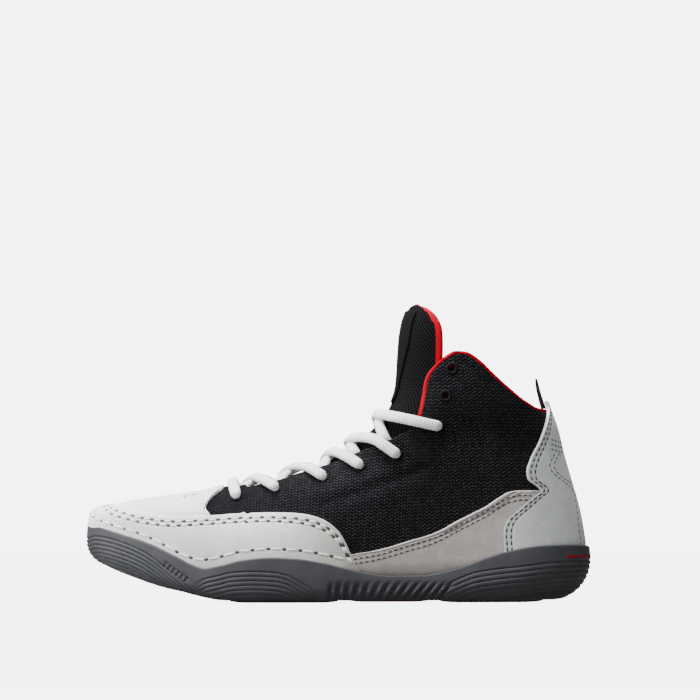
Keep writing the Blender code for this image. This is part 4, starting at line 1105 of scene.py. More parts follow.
class Seams:
    """The threads of one colour, and the needle holes between them as dark marks of painted shade."""

    def __init__(self, pitch, length, radius, hole):
        self.pitch, self.length, self.radius, self.hole = pitch, length, radius, hole
        self.threads, self.holes = Thread(), Thread()

    def add(self, places, shares, offset, pitch=None, length=None):
        """A row of stitches on a line of ribs and shares."""
        pitch, length = pitch or self.pitch, length or self.length
        full = toe_fullness(last.skin(places, shares))
        path = surface(places, shares, offset + full)
        ups = surface(places, shares, offset + full + 1 * MM) - path
        self.threads.add(path, ups, pitch, length, self.radius)
        # Painted shade: flat dark marks between the threads stand for the shade in the needle holes.
        gap = pitch - length
        self.holes.add(path + ups * 0.05, ups, pitch, gap, self.hole, 0.05 * MM, 0.5, 0.3)

    def build(self, name, thread, hole):
        return self.threads.build(name + "_stitches", thread), self.holes.build(name + "_holes", hole)


def smooth_rows(values, times=3):
    """The same values with small jumps evened out."""
    values = np.array(values, float)
    for _ in range(times):
        inner = (values[:-2] + 2 * values[1:-1] + values[2:]) / 4
        values = np.concatenate([[values[0]], inner, [values[-1]]])
    return values


def fine_edge_share(place, edge, offset):
    """Where a rib, moved out by an offset, crosses an edge given by its height along the shoe."""
    line = last.skin(place, last.shares, offset)
    over = line[:, 2] - edge(share_along(line[:, 0])) * COLLAR_HEIGHT
    above = np.nonzero(over > 0)[0]
    if len(above) == 0:
        return 1.0
    k = above[0]
    if k == 0:
        return 0.0
    t = over[k - 1] / (over[k - 1] - over[k])
    return float(last.shares[k - 1] + t * (last.shares[k] - last.shares[k - 1]))


def cup_start(places):
    return 3.0 * MM / lengths.rib(places)


def toe_pieces(finishes, seams, fine_seams):
    """Toe guard and vamp, with their seams."""
    guard = table_curve(GUARD_EDGE, 1)
    ends = [last.place_at(along(0.545), 0.12 * COLLAR_HEIGHT, side) for side in (-1, 1)]
    places = spread(min(ends), max(ends), 1.3 * MM)
    high = smooth_rows([fine_edge_share(p, guard, SUEDE_OUTER) for p in places])
    rim = rim_share(places, BASE_SEAM_RISE)
    made = [suede_strip("toe_guard_suede", places, cup_start(places), high, (3.7, 6.0), finishes)]
    long = lengths.rib(places)
    base = rim_share(places, ((0.0, 1.0), (1.0, 1.0)))
    for gap in (3.7 * MM, 6.0 * MM):
        line = high - gap / long
        keep = slice(*np.nonzero(line > base)[0][[0, -1]])
        seams.add(places[keep], line[keep], SUEDE_OUTER - 0.12 * MM)
    keep = slice(*np.nonzero((high - rim) * long > 8 * MM)[0][[0, -1]])
    seams.add(places[keep], rim[keep], SUEDE_OUTER - 0.05 * MM, 9.0 * MM, 6.6 * MM)

    back = table_curve(VAMP_EDGE, 1)
    x, z = along(VAMP_CORNER[0]), VAMP_CORNER[1] * COLLAR_HEIGHT
    corners = sorted(last.place_at(x, z, side) for side in (-1, 1))
    places = spread(corners[0], corners[1], 1.0 * MM)
    low, high = [], []
    for place in places:
        start = fine_edge_share(place, guard, SUEDE_OUTER)
        shares = np.linspace(start, 1, 300)
        line = last.skin(place, shares, SUEDE_OUTER)
        beyond = share_along(line[:, 0]) - back(line[:, 2] / COLLAR_HEIGHT)
        crossing = np.nonzero(beyond > 0)[0]
        end = shares[crossing[0]] if len(crossing) else 1.0
        low.append(start)
        high.append(max(end, start + 0.8 * MM / lengths.rib(place)))
    low, high = smooth_rows(low), np.minimum(smooth_rows(high), 1.0)
    made.append(vamp_piece(places, low, high, finishes))
    long = lengths.rib(places)
    for first, final in rear_runs(high, low, long):
        run = slice(first, final)
        line = (high - 2.6 * MM / long)[run]
        fine_seams.add(places[run], line, SUEDE_OUTER - 0.22 * MM)
    for side in (-1, 1):
        line, rows = last.path(*np.linspace(*VENT_LINE, 12).T * MM, side)
        path = surface(line, rows, SUEDE_OUTER - 0.30 * MM)
        ups = surface(line, rows, SUEDE_OUTER) - path
        fine_seams.holes.add(path, ups, 4.4 * MM, 1.4 * MM, 0.75 * MM, 0.05 * MM, 0.0, 0.5)
        fine_seams.holes.add(path, ups, 4.4 * MM, 1.6 * MM, 0.50 * MM, 0.05 * MM, 0.5, 0.2)
    return made


def rear_runs(high, low, long):
    """The stretches of the vamp's rear edge on both sides, short of the throat."""
    side = (high < 0.999) & ((high - low) * long > 4 * MM)
    middle = len(high) // 2
    runs = []
    for part in (np.nonzero(side[:middle])[0], np.nonzero(side[middle:])[0] + middle):
        if len(part) > 8:
            runs.append((part[0], part[-1]))
    return runs


def vamp_piece(places, low, high, finishes):
    """The vamp lies under the guard's edge, and its own rear edge is cut."""
    long = lengths.rib(places)
    low = low - 1.5 * MM / long
    mix = np.concatenate([np.linspace(0, 0.9, 40), np.linspace(0.91, 1, 14)])[:, None]
    shares = low + (high - low) * mix
    gaps = np.minimum((high - shares) * long, 20 * MM)
    around = lengths.round(places)
    side_gap = np.minimum(around - around[0], around[-1] - around)[None, :] + 0 * gaps
    gaps = np.minimum(gaps, side_gap + 0.2 * MM)
    seam = 0.95 * MM * ease(1 - (shares - low) * long / (4.2 * MM))
    offset = edge_profile(gaps, SUEDE_OUTER - 0.35 * MM) - seam
    places = np.broadcast_to(places, shares.shape)
    return sheet_piece("vamp_suede", places, shares, offset, gaps, finishes)


def rim_share(places, rises):
    """The share of each rib some way above the rubber's upper edge, given by places along the shoe."""
    above = np.interp(share_along(last.skin(places, 0.1)[:, 0]), *np.transpose(rises)) * MM
    return smooth_rows(last.shares_at(places, rim_height(places) + above), 6)


def level_shares(places, heights):
    """The shares of rows of ribs that each lie at one height."""
    levels = np.multiply(heights, COLLAR_HEIGHT)
    return np.array([last.shares_at(row, [z] * len(row)) for z, row in zip(levels, places)])


def rows_by_height(lines, spacing, side):
    """Ribs and shares of a piece given at several heights, each between two places along the shoe."""
    ends = np.array([[last.place_at(x, line[0] * COLLAR_HEIGHT, side) for x in line[1:]] for line in lines])
    widest = np.abs(lengths.round(ends[:, 0]) - lengths.round(ends[:, 1])).max()
    columns = round(widest / spacing)
    mix = np.linspace(0, 1, columns)
    places = ends[:, :1] + (ends[:, 1:] - ends[:, :1]) * mix[None, :]
    shares = level_shares(places, [line[0] for line in lines])
    return places, np.maximum(shares, cup_start(places) * 0.8)


def edge_gap_map(points):
    """How far each point of a grid is from the grid's edges, along the surface."""
    down = np.linalg.norm(np.diff(points, axis=0), axis=2)
    over = np.linalg.norm(np.diff(points, axis=1), axis=2)
    zero_row, zero_column = np.zeros((1, points.shape[1])), np.zeros((points.shape[0], 1))
    from_top = np.concatenate([np.cumsum(down[::-1], axis=0)[::-1], zero_row])
    from_left = np.concatenate([zero_column, np.cumsum(over, axis=1)], axis=1)
    from_right = np.concatenate([np.cumsum(over[:, ::-1], axis=1)[:, ::-1], zero_column], axis=1)
    return from_top, from_left, from_right


def denser_ends(count, sharpness=3.0):
    """Shares from 0 to 1 that crowd towards both ends."""
    t = np.linspace(-1, 1, count)
    return (np.tanh(t * sharpness) / np.tanh(sharpness) + 1) / 2


def panel_piece(name, side, finishes, seams):
    """The suede low on one side, with a double row of stitches under its top edge."""
    guard = table_curve(swapped(GUARD_EDGE[-6:])[::-1], 1)
    top = table_curve(swapped(PANEL_EDGE[:-2]), 1)
    counter = table_curve(COUNTER_EDGE, 1)
    corner, high = PANEL_EDGE[0][1], 0.4455
    lines = []
    for height in np.concatenate([np.linspace(0.06, corner, 18), np.linspace(corner, high, 60)[1:]]):
        front_edge = guard(height) - 0.002 if height < corner + 0.0005 else top(height)
        lines.append((height, along(front_edge), along(counter(height)) + 1.5 * MM))
    places, shares = rows_by_height(lines, 1.3 * MM, side)
    flat = last.skin(places, shares)
    from_top, from_left, _ = edge_gap_map(flat)
    slanted = np.array([line[0] for line in lines])[:, None] >= corner
    nearest = np.minimum(from_top, np.where(slanted, from_left * 0.55, 9 * MM))
    offset = edge_profile(nearest, SUEDE_OUTER - 0.45 * MM) - seam_dip(nearest, (2.6, 4.9))
    made = sheet_piece(name, places, shares, offset, nearest, finishes)
    edge = table_curve(PANEL_EDGE, 1)
    first = last.place_at(along(0.522), 0.17 * COLLAR_HEIGHT, side)
    final = last.place_at(along(0.878), 0.44 * COLLAR_HEIGHT, side)
    run = spread(first, final, 2 * MM)
    line = smooth_rows([fine_edge_share(p, edge, SUEDE_OUTER - 0.45 * MM) for p in run])
    for gap in (2.6, 4.9):
        line_share = line - gap * 1.15 * MM / lengths.rib(run)
        seams.add(run, line_share, SUEDE_OUTER - 0.5 * MM)
    return made


def counter_piece(finishes, seams):
    """The suede round the heel, up to its point behind the collar."""
    edge = table_curve(COUNTER_EDGE, 1)
    heights = np.concatenate([np.linspace(0.09, 0.40, 40), np.linspace(0.405, 0.50, 24),
                              np.linspace(0.51, 0.765, 34), np.linspace(0.77, COUNTER_TOP, 8)])
    z = heights * COLLAR_HEIGHT
    x = np.minimum(along(edge(heights)), heel_x(z) - 0.6 * MM)
    halves = {}
    for side in (-1, 1):
        reach = np.abs(last.path(x, z, side)[0])
        halves[side] = smooth_rows(np.minimum(reach, 1 - 4 * MM / LENGTH), 1)
    mix = squared(np.linspace(-1, 1, 110), 0.8)
    places = np.where(
        mix[None, :] < 0,
        1 - (1 - halves[1][:, None]) * np.abs(mix)[None, :],
        -(1 - (1 - halves[-1][:, None]) * np.abs(mix)[None, :]),
    )
    shares = level_shares(places, heights)
    shares = np.maximum(shares, 2.4 * MM / lengths.rib(places))
    flat = last.skin(places, shares)
    from_top, from_left, from_right = edge_gap_map(flat)
    nearest = np.minimum(from_top, np.minimum(from_left, from_right))
    offset = edge_profile(nearest, SUEDE_OUTER, 0.45 * MM) - seam_dip(nearest, (2.3, 4.9))
    made = sheet_piece("heel_counter_suede", places, shares, offset, nearest, finishes, 0.12 * MM)
    number = np.arange(len(mix))
    for gaps, sign in ((from_left, 1), (from_right, -1)):
        for gap in (2.3 * MM, 4.9 * MM):
            line = []
            for row in range(6, len(heights) - 4):
                at = np.interp(gap, gaps[row][::sign], number[::sign])
                line.append([np.interp(at, number, values[row]) for values in (np.abs(places), shares)])
            line_places, line_shares = np.transpose(line)
            seams.add(sign * line_places, line_shares, SUEDE_OUTER - 0.12 * MM)
    for drop in (0.0, 2.7 * MM, 5.4 * MM):
        for side in (-1, 1):
            x = np.linspace(119.3 * MM, heel_x(88 * MM), 20)
            z = np.linspace(93.6 * MM, 90.8 * MM, 20) - drop
            seams.add(*last.path(x, z, side), SUEDE_OUTER - 0.08 * MM)
    for side in (-1, 1):
        for shift in (0.0, 2.4 * MM):
            x, z = np.transpose(BACKSTAY)
            run, rows = last.path(along(x) + shift, z * COLLAR_HEIGHT, side)
            t = np.linspace(0, 1, 60)
            key = np.linspace(0, 1, len(run))
            line = smooth_rows(np.interp(t, key, run), 4)
            seams.add(line, smooth_rows(np.interp(t, key, rows), 4), SUEDE_OUTER - 0.08 * MM)
    return made


# The rest of the pieces.


def tube_mesh(name, rings, finishes, slots, uvs):
    """A closed tube from a grid of rings, with both ends filled."""
    rows, columns = rings.shape[:2]
    faces = grid_faces(rows, columns, closed_columns=True).tolist()
    faces += [list(range(columns))[::-1], [(rows - 1) * columns + k for k in range(columns)]]
    if slots is not None:
        slots = list(slots) + [slots[0], slots[-1]]
    return new_mesh(name, rings.reshape(-1, 3), faces, finishes, slots, uvs.reshape(-1, 2))


def tongue_piece(finishes):
    """The padded tongue, black outside, its edge and its back lined in red."""
    half = table_curve(TONGUE, 1)
    full = table_curve(TONGUE, 2)
    rows, turns = 130, 96
    shares = np.linspace(0, 1, rows) ** 0.9
    turn = np.linspace(0, 2 * math.pi, turns, endpoint=False)
    wide, thick = squared(np.cos(turn), 0.5), squared(np.sin(turn), 0.8)
    thickness = full(shares) * TONGUE_THICKNESS
    tip = np.sqrt(np.clip((1 - shares) * (front_length() / (3 * MM)), 0, 1))
    thickness = thickness * (0.25 + 0.75 * tip)
    reach = half(shares) * BALL_WIDTH
    across = reach[:, None] * wide[None, :]
    middle = tongue_top() + TONGUE_THICKNESS * full(shares) / 2
    depth = middle[:, None] - thickness[:, None] / 2 * thick[None, :]
    depth -= 0.12 * TONGUE_THICKNESS * np.abs(wide[None, :]) ** 4 * np.ones((rows, 1))
    grid_shares = np.broadcast_to(shares[:, None], across.shape)
    points, _ = front.at(grid_shares, across, depth)
    uvs = np.stack([across, grid_shares * front_length()], axis=-1)
    slots = []
    for i in range(rows - 1):
        for j in range(turns):
            angle = (turn[j] + math.pi / turns) % (2 * math.pi)
            reached = abs(wide[j]) * reach[i] < reach[i] - TONGUE_BINDING
            above = (1 - shares[i]) * front_length() > 0.3 * TONGUE_BINDING
            low = points[i, j, 2] < BINDING_FROM
            slots.append(0 if math.sin(angle) > 0 and (low or (reached and above)) else 1)
    return tube_mesh("tongue_padded", points, finishes, slots, uvs)


def front_length():
    return float(gone_along(front.ridge)[-1])


def label_piece(finish):
    """The smooth blank patch on the tongue's front."""
    rows, columns = 60, 30
    shares = np.linspace(0.64, 0.95, rows)
    width = (0.10 + 0.15 * ease((shares - 0.62) / 0.24))[:, None] * BALL_WIDTH
    mix = denser_ends(columns) * 2 - 1
    grid_shares, grid_mix = np.meshgrid(shares, mix, indexing="ij")
    down = np.minimum(np.linspace(0, 1, rows), np.linspace(1, 0, rows)) * front_length() * 0.31
    across = grid_mix * (width - 3.5 * MM * fallen(down, 3.5 * MM)[:, None])
    gaps = np.minimum(down[:, None], (1 - np.abs(grid_mix)) * width)
    raised = edge_profile(gaps, LABEL_THICKNESS)
    under = tongue_top() + 0.2 * MM
    outer, _ = front.at(grid_shares, across, under - 0.3 * MM - raised)
    inner, _ = front.at(grid_shares, across, np.full(across.shape, under))
    uvs = np.stack([across, grid_shares * front_length()], axis=-1)
    return closed_sheet("label_patch", outer, inner, [finish], None, uvs)


def ring_meshes(finish):
    """A rounded ring in each eyelet, and a dark backing in each empty one, all in one mesh."""
    points, faces, count = [], [], 0
    rounds, sides = 28, 10
    turn = np.linspace(0, 2 * math.pi, rounds, endpoint=False)
    bend = np.linspace(0, 2 * math.pi, sides, endpoint=False)
    middle = (EYELET_HOLE + EYELET_RING) / 2
    half = (EYELET_RING - EYELET_HOLE) / 2
    for side in (-1, 1):
        for row in range(len(EYELETS)):
            centre, axis, rise = (np.array(v) for v in eyelet_frame(row, side))
            across = np.cross(axis, rise)
            across /= np.linalg.norm(across)
            rise = np.cross(across, axis)
            spokes = across * np.cos(turn)[:, None] + rise * np.sin(turn)[:, None]
            turned = [(middle + half * np.cos(bend), 0.15 * MM + 0.55 * MM * np.sin(bend))]
            if row >= LACED_ROWS:
                depth = SHELL + 0.5 * MM if row == LACED_ROWS else WALL - 0.1 * MM
                turned.append((BACKING_RADIUS, BACKING_RISE - depth))
            for radius, height in turned:
                ring = centre + spokes[:, None] * radius[None, :, None] + axis * height[None, :, None]
                faces.append(grid_faces(rounds, len(radius), True, True) + count)
                points.append(ring.reshape(-1, 3))
                count += rounds * len(radius)
    return new_mesh("eyelet_rings", np.concatenate(points), np.concatenate(faces), [finish])


def strand_route(row, side):
    """A strand's way from under one flap, over the throat, to the next eyelet on the other side."""
    start_spot = front.find(*eyelet_spot(row), -side)
    end_share, end_y = front.find(*eyelet_spot(row + 1), side)
    over = side < 0
    start_share = start_spot[0] + 0.12 * (end_share - start_spot[0])
    start_y = front.edge(start_share, -side) + side * 0.8 * MM
    edge_y = front.edge(end_share, side)
    span = end_y - start_y
    crossing = -start_y / span
    lip = (edge_y - start_y) / span
    middle_share, lip_share = start_spot[0] + np.array(CLIMBS[row]) * (end_share - start_spot[0])
    shares = ((0.0, start_share), (crossing, middle_share), (lip, lip_share), (1.0, end_share))
    depths = (
        (0.0, UNDER_FLAP),
        (3.5 * MM / abs(span), UNDER_FLAP - 1.0 * MM),
        (crossing * 0.6, 0.8 * MM if over else 2.0 * MM),
        (crossing, -0.5 * MM if over else 2.3 * MM),
        (lip - 3.0 * MM / abs(span), -1.4 * MM),
        (lip + 1.0 * MM / abs(span), -2.3 * MM),
        (1.0, OVER_RING),
    )
    upwards, depth = table_curve(shares, 1), table_curve(depths, 1)
    route = []
    for t in np.linspace(0, 1, 44):
        squeeze = 1 - 0.22 * math.exp(-(((t - crossing) / 0.12) ** 2))
        full = 0.5 + 0.5 * ease(t * abs(span) / (3.5 * MM))
        route.append((float(upwards(t)), start_y + span * t, float(depth(t)), 1.0, squeeze * full))
    return start_spot, route, (end_share, end_y)


def through_eyelet(spot, ahead, back):
    """Round over the ring and down through the hole, then back under the flap.

    Ahead is the way the lace arrives, by share and distance round, and back is the way it leaves.
    """
    share, y = spot

    def at(step, depth, width, thick, way=ahead):
        return (share + way[0] * step * MM, y + way[1] * step * MM, depth * MM, width, thick)

    return [
        at(-0.6, -2.2, 1.0, 1.0),
        at(0.4, -2.0, 0.95, 0.95),
        at(1.2, -1.3, 0.75, 0.8),
        at(1.2, -0.6, 0.55, 0.7),
        at(0.6, 0.2, 0.42, 0.8),
        at(0.0, 1.4, 0.42, 0.8),
        at(0.6, 2.6, 0.5, 0.7, back),
        at(1.8, UNDER_FLAP / MM, 0.7, 0.4, back),
        at(3.6, UNDER_FLAP / MM, 0.9, 0.25, back),
    ]


def heading(first, final):
    """The way from one spot of a route to another, a millimetre long."""
    share, y = final[0] - first[0], final[1] - first[1]
    long = math.hypot(share * front_length(), y)
    return share / long, y / long


def lace_half(side):
    """One half of the lace: from the lowest eyelet on a side up to the highest laced row."""
    route = through_eyelet(front.find(*eyelet_spot(0), side), (0.0, side), (0.0, -side))
    for row in range(LACED_ROWS - 1):
        side = -side
        start, strand, end = strand_route(row, side)
        first = strand[0]
        middle = ((start[0] + first[0]) / 2, (start[1] + first[1]) / 2)
        route.append((*middle, UNDER_FLAP, 0.95, 0.25))
        route.append((first[0], first[1] - side * 2.5 * MM, UNDER_FLAP, 0.98, 0.35))
        route += strand
        route += through_eyelet(end, heading(strand[-6], strand[-1]), (0.0, -side))
    return route[:-3]


def lace_frames(points, ups):
    """Across and up directions along the lace, carried on where it dives through an eyelet."""
    way = np.gradient(points, axis=0)
    way /= np.linalg.norm(way, axis=1, keepdims=True)
    across = np.empty_like(way)
    before = np.cross(way[len(way) // 2], ups[len(way) // 2])
    order = [*range(len(way) // 2, len(way)), *range(len(way) // 2 - 1, -1, -1)]
    for i in order:
        if i == len(way) // 2 - 1:
            before = across[len(way) // 2]
        level = np.cross(way[i], ups[i])
        if np.linalg.norm(level) > 0.55:
            level /= np.linalg.norm(level)
            level *= 1 if level @ before >= 0 else -1
            found = before * 0.6 + level * 0.4
        else:
            found = before
        found = found - (found @ way[i]) * way[i]
        before = found / np.linalg.norm(found)
        across[i] = before
    return across, np.cross(across, way)


def lace_piece(finish):
    """The whole lace: one flattened braid through the lower six pairs of eyelets."""
    share, reach = front.find(*eyelet_spot(0), 1)
    bar = [(share, t * reach, OVER_RING + 0.6 * MM * (1 - t * t), 1, 1) for t in np.linspace(-1, 1, 40)]
    route = np.array(lace_half(-1)[::-1] + bar + lace_half(1))
    points, ups = front.at(route[:, 0], route[:, 1], route[:, 2])
    gone = gone_along(points)
    at = np.arange(0, gone[-1], 0.6 * MM)
    values = np.column_stack([points, ups, route[:, 3:]])
    fine = np.column_stack([np.interp(at, gone, values[:, k]) for k in range(8)])
    for _ in range(4):
        fine[1:-1] = (fine[:-2] + 2 * fine[1:-1] + fine[2:]) / 4
    across, up = lace_frames(fine[:, :3], fine[:, 3:6])
    turn = np.linspace(0, 2 * math.pi, 24, endpoint=False)
    wide, high = squared(np.cos(turn), 0.85), squared(np.sin(turn), 0.85)
    ribs = 1 + 0.03 * np.sin(at * 2 * math.pi / (1.3 * MM))
    half_width_here = (CORD_WIDTH / 2 * fine[:, 6] * ribs)[:, None, None]
    half_height = (LACE_HEIGHT / 2 * fine[:, 7] * ribs)[:, None, None]
    rings = fine[:, None, :3] + across[:, None] * wide[None, :, None] * half_width_here
    rings = rings + up[:, None] * high[None, :, None] * half_height
    shape = rings.shape[:2]
    round_it = turn / (2 * math.pi) * 16 * MM
    uvs = np.stack([np.broadcast_to(at[:, None], shape), np.broadcast_to(round_it, shape)], axis=-1)
    return tube_mesh("lace", rings, [finish], None, uvs), gone[-1]


# The sole.


def groove(height, share, band, rows, pitch):
    """How deep the grooves of one band lie at each place on the sole's side, as a share."""
    first, final = band[0][0], band[-1][0]
    top = table_curve(band, 1)(share) * TOE_RIM_HEIGHT
    steps = (top - height) / pitch
    inside = ease((share - first) / 0.006) * ease((final - share) / 0.006)
    inside = inside * (steps > -0.5) * (steps < rows - 0.5)
    return inside * np.exp(-(((steps - np.round(steps)) / 0.14) ** 2))


class Sole:
    """The sole's side: the line of its upper edge, and its points by rib and height."""

    def __init__(self, places):
        self.rim_in = rim_ring(places, CUP_INNER)
        self.normals = flat_normals(places, self.rim_in)
        self.rim = self.rim_in + self.normals * (RIM_OUTER - CUP_INNER)
        self.share = share_along(self.rim[:, 0])
        self.top = self.rim[:, 2]
        self.roll_in = sole_roll(self.share) * TOE_RIM_HEIGHT
        edge = self.rim - self.normals * self.roll_in[:, None]
        self.under = sole_underside(share_along(edge[:, 0])) * TOE_RIM_HEIGHT

    def at(self, z, offset=0.0):
        """Points of the grooved side at these heights, one column for each rib."""
        top, under = self.top, self.under
        roll_up = np.minimum(1.2 * self.roll_in, 0.8 * (top - under))
        low = np.clip(1 - (z - under) / roll_up, 0, 1)
        inset = self.roll_in * (1 - np.sqrt(1 - low**2))
        swell = WALL_BULGE * np.sin(math.pi * np.clip((z - under) / (top - under), 0, 1))
        lip = 0.9 * MM * fallen(top - z, 0.9 * MM)
        share = np.broadcast_to(self.share, z.shape)
        depth = groove(z, share, TOE_BAND, 8, 2.4 * MM)
        depth += groove(z, share, BALL_BAND, 7, 2.6 * MM)
        depth += groove(z, share, HEEL_BAND, 8, 2.9 * MM)
        depth = depth * 0.65 * MM + flutes(self.rim[:, 0], z) + ticks(self.rim[:, 0][None, :], z)
        out = swell - inset - lip - depth + offset
        points = self.rim[None] + self.normals[None] * out[..., None]
        points[..., 2] = z
        return points


def flutes(x, z):
    """The slanting flutes low on the arch, that lean more towards the heel."""
    lean = 0.1 + 0.75 * ease((x[None, :] - FLUTES_FROM) / (FLUTES_TO - FLUTES_FROM))
    slant = x[None, :] - lean * z
    steps = (slant - FLUTES_FROM) / FLUTE_PITCH
    inside = ease((slant - FLUTES_FROM) / (3 * MM)) * ease((FLUTES_TO - slant) / (3 * MM))
    inside = inside * ease((FLUTE_TOP - z) / (6 * MM)) * ease(z / (0.5 * MM))
    valley = 1 - np.abs(np.cos(math.pi * steps)) ** 1.5
    return inside * 2.1 * MM * valley


def ticks(x, z):
    """The short ticks between the toe's grooves and the ball's."""
    first, final = (np.array(end) * MM for end in TICK_LINE)
    way = final - first
    long = np.linalg.norm(way)
    way = way / long
    t = (x - first[0]) * way[0] + (z - first[1]) * way[1]
    off = (x - first[0]) * -way[1] + (z - first[1]) * way[0]
    steps = t / (2.9 * MM)
    inside = ease(t / (1 * MM)) * ease((long - t) / (1 * MM)) * ease((2.0 * MM - np.abs(off)) / (0.5 * MM))
    return inside * 0.9 * MM * np.exp(-(((steps - np.round(steps)) / 0.24) ** 2))


def sole_piece(finishes):
    """The rubber cup with its fine grooves."""
    places = even_ring(1.0 * MM)
    shares_up = np.concatenate([np.linspace(0, 0.985, 78), [0.992, 1.0]])[:, None]
    sole = Sole(places)
    side = sole.at(sole.under + (sole.top - sole.under) * shares_up)
    edge = side[0]
    low_spine = middle_line(edge, underside_height)
    bottom = [towards_middle(edge, low_spine, s, underside_height) for s in (0.9, 0.6, 0.3, 0.1)]
    rim_in = sole.rim_in
    inner = [rim_in]
    feet = last.skin(places, 0.0)
    for share in (0.6, 0.3, 0.0):
        at = last.shares_at(places, feet[:, 2] + (rim_in[:, 2] - feet[:, 2]) * share)
        inner.append(last.skin(places, at, CUP_INNER))
    inner[-1][:, 2] = floor_height(inner[-1][:, 0])
    high_spine = middle_line(inner[-1], floor_height)
    floor = [towards_middle(inner[-1], high_spine, s, floor_height) for s in (0.3, 0.7)]
    rows = [*bottom, *side, *inner, *floor]
    return ring_piece("rubber_cup", rows, low_spine, high_spine, finishes[0])


def ring_piece(name, rows, low_spine, high_spine, finish):
    """A closed piece from rings of points, closed to a line along the middle at both ends."""
    count = len(rows[0])
    points = np.array(rows).reshape(-1, 3)
    faces = grid_faces(len(rows), count, closed_columns=True).tolist()
    half = count // 2
    pairing = [min(i, count - i) for i in range(count)]
    for spine, row, flip in ((low_spine, 0, True), (high_spine, len(rows) - 1, False)):
        first = len(points)
        points = np.concatenate([points, spine[: half + 1]])
        for i in range(count):
            k = (i + 1) % count
            a, b = row * count + i, row * count + k
            c, d = first + pairing[k], first + pairing[i]
            face = [a, b, c, d] if c != d else [a, b, c]
            faces.append(face[::-1] if flip else face)
    return new_mesh(name, points, faces, [finish], smooth=50)


def sole_edges(x):
    """The two sides of the sole's flat underside at a place along the shoe."""
    inset = sole_roll(share_along(x)) * TOE_RIM_HEIGHT + PAD_INSET - CUP_INNER
    half = half_width(x, shoulder_height(x))
    return centre_y(x) - half + inset, centre_y(x) + half - inset


def tread_piece(name, start, end, low, inset, finish, grooved=True):
    """A pad under the sole, its foot cut by fine wavy grooves inside an unbroken edge."""
    first, final = along(start) + inset, along(end) - inset
    rows, columns = round((final - first) / (0.8 * MM)), 64
    x = first + (final - first) * denser_ends(rows, 1.2)
    left, right = sole_edges(x)
    from_end = np.minimum(x - first, final - x)[:, None]
    square = 1 - 0.20 * fallen(from_end[:, 0], 14 * MM)
    middle, half = (left + right) / 2, (right - left) / 2 * square - inset
    mix = denser_ends(columns, 1.2) * 2 - 1
    grid_x = np.broadcast_to(x[:, None], (rows, columns))
    grid_y = middle[:, None] + half[:, None] * mix
    from_side = np.minimum((1 - np.abs(mix))[None, :] * half[:, None], from_end)
    z = low + 0.5 * MM * fallen(from_side, 0.6 * MM)
    z = z + 0.8 * MM * np.clip(1 - from_end / (10 * MM), 0, 1) ** 2
    if grooved:
        wave = (grid_x + 2.2 * MM * np.sin(grid_y / (7 * MM))) / (4.2 * MM)
        cut = np.exp(-(((wave - np.round(wave)) / 0.17) ** 2))
        z = z + LUG_DEPTH * ease((from_side - 2.5 * MM) / (1 * MM)) * cut
    foot = np.stack([grid_x, grid_y, z], axis=-1)
    top = foot.copy()
    top[..., 2] = PAD_THICKNESS + 0.2 * MM
    return closed_sheet(name, foot, top, [finish])


def insole_piece(finish):
    """The footbed, crowned a little where it meets the upper's wall."""

    def under(x):
        return floor_height(x) + CLEARANCE + 0.3 * MM

    def over(x):
        return under(x) + INSOLE_THICKNESS

    places = even_ring(4 * MM)
    inside = -(WALL + 1.0 * MM)
    low = last.skin(places, 0.0, inside)
    rows = []
    for rise in np.linspace(0, 1, 5):
        at = last.shares_at(places, low[:, 2] + INSOLE_THICKNESS * rise)
        ring = last.skin(places, at, inside - 0.8 * MM * rise**3)
        ring[:, 2] = under(low[:, 0]) + INSOLE_THICKNESS * rise
        rows.append(ring)
    low_spine, high_spine = middle_line(rows[0], under), middle_line(rows[-1], over)
    low_rows = [towards_middle(rows[0], low_spine, s, under) for s in (0.5, 0.1)]
    high_rows = [towards_middle(rows[-1], high_spine, s, over) for s in (0.1, 0.5, 0.9)]
    return ring_piece("footbed", [*low_rows[::-1], *rows, *high_rows], low_spine, high_spine, finish)


def tab_piece(finish):
    """The webbing tab that rises behind the collar, leaning forward a little and thinner at its top."""
    base = last.skin(1.0, 1.0)
    rows, columns = 60, 26
    t = np.linspace(0, 1, rows)[:, None]
    mix = np.linspace(-0.5, 0.5, columns)[None, :]
    x = base[0] - (WALL + TAB_THICKNESS) / 2 - TAB_LEAN * t - 0.4 * MM * np.sin(math.pi * t)
    x = x - TAB_BOW * (2 * mix) ** 2 * (1 - t) ** 0.6
    z = base[2] + CLEARANCE + TAB_RISE * t + 0 * mix
    ribs = 0.10 * MM * np.sin(mix * TAB_WIDTH * 2 * math.pi / (1.6 * MM))
    thick = (TAB_THICKNESS / 2 + ribs) * np.sqrt(np.clip(1 - (2 * np.abs(mix)) ** 10, 0.02, 1))
    thick = thick * np.sqrt(np.clip(1 - t**24, 0.1, 1)) * (1 - 0.3 * t**2)
    across = mix * TAB_WIDTH * np.sqrt(1 - 0.12 * t**10)
    outer = np.stack([x + thick, across, z], axis=-1)
    inner = np.stack([x - thick, across, z], axis=-1)
    return closed_sheet("tab_webbing", outer, inner, [finish])


def heel_inlay(finish):
    """The thin wavy red line that wraps round the heel."""
    ends = [last.place_at(127.5 * MM, 26.3 * MM, side) for side in (-1, 1)]
    run = np.concatenate([np.linspace(ends[1], 1, 90), -np.linspace(1, -ends[0], 90)[1:]])
    sole = Sole(run)
    number = np.arange(len(run))
    fade = np.sqrt(np.clip(np.minimum(number, number[::-1]) / 8, 0.05, 1))
    wave = 0.25 * MM * np.sin(number * 0.45)
    across = np.linspace(-1, 1, 7)[:, None]
    z = 26.3 * MM + wave + across * 0.8 * MM * fade
    outer = sole.at(z, 0.22 * MM * np.sqrt(1 - (0.95 * across) ** 2))
    inner = sole.at(z, -1.2 * MM)
    return closed_sheet("heel_line", outer, inner, [finish])


# Materials.


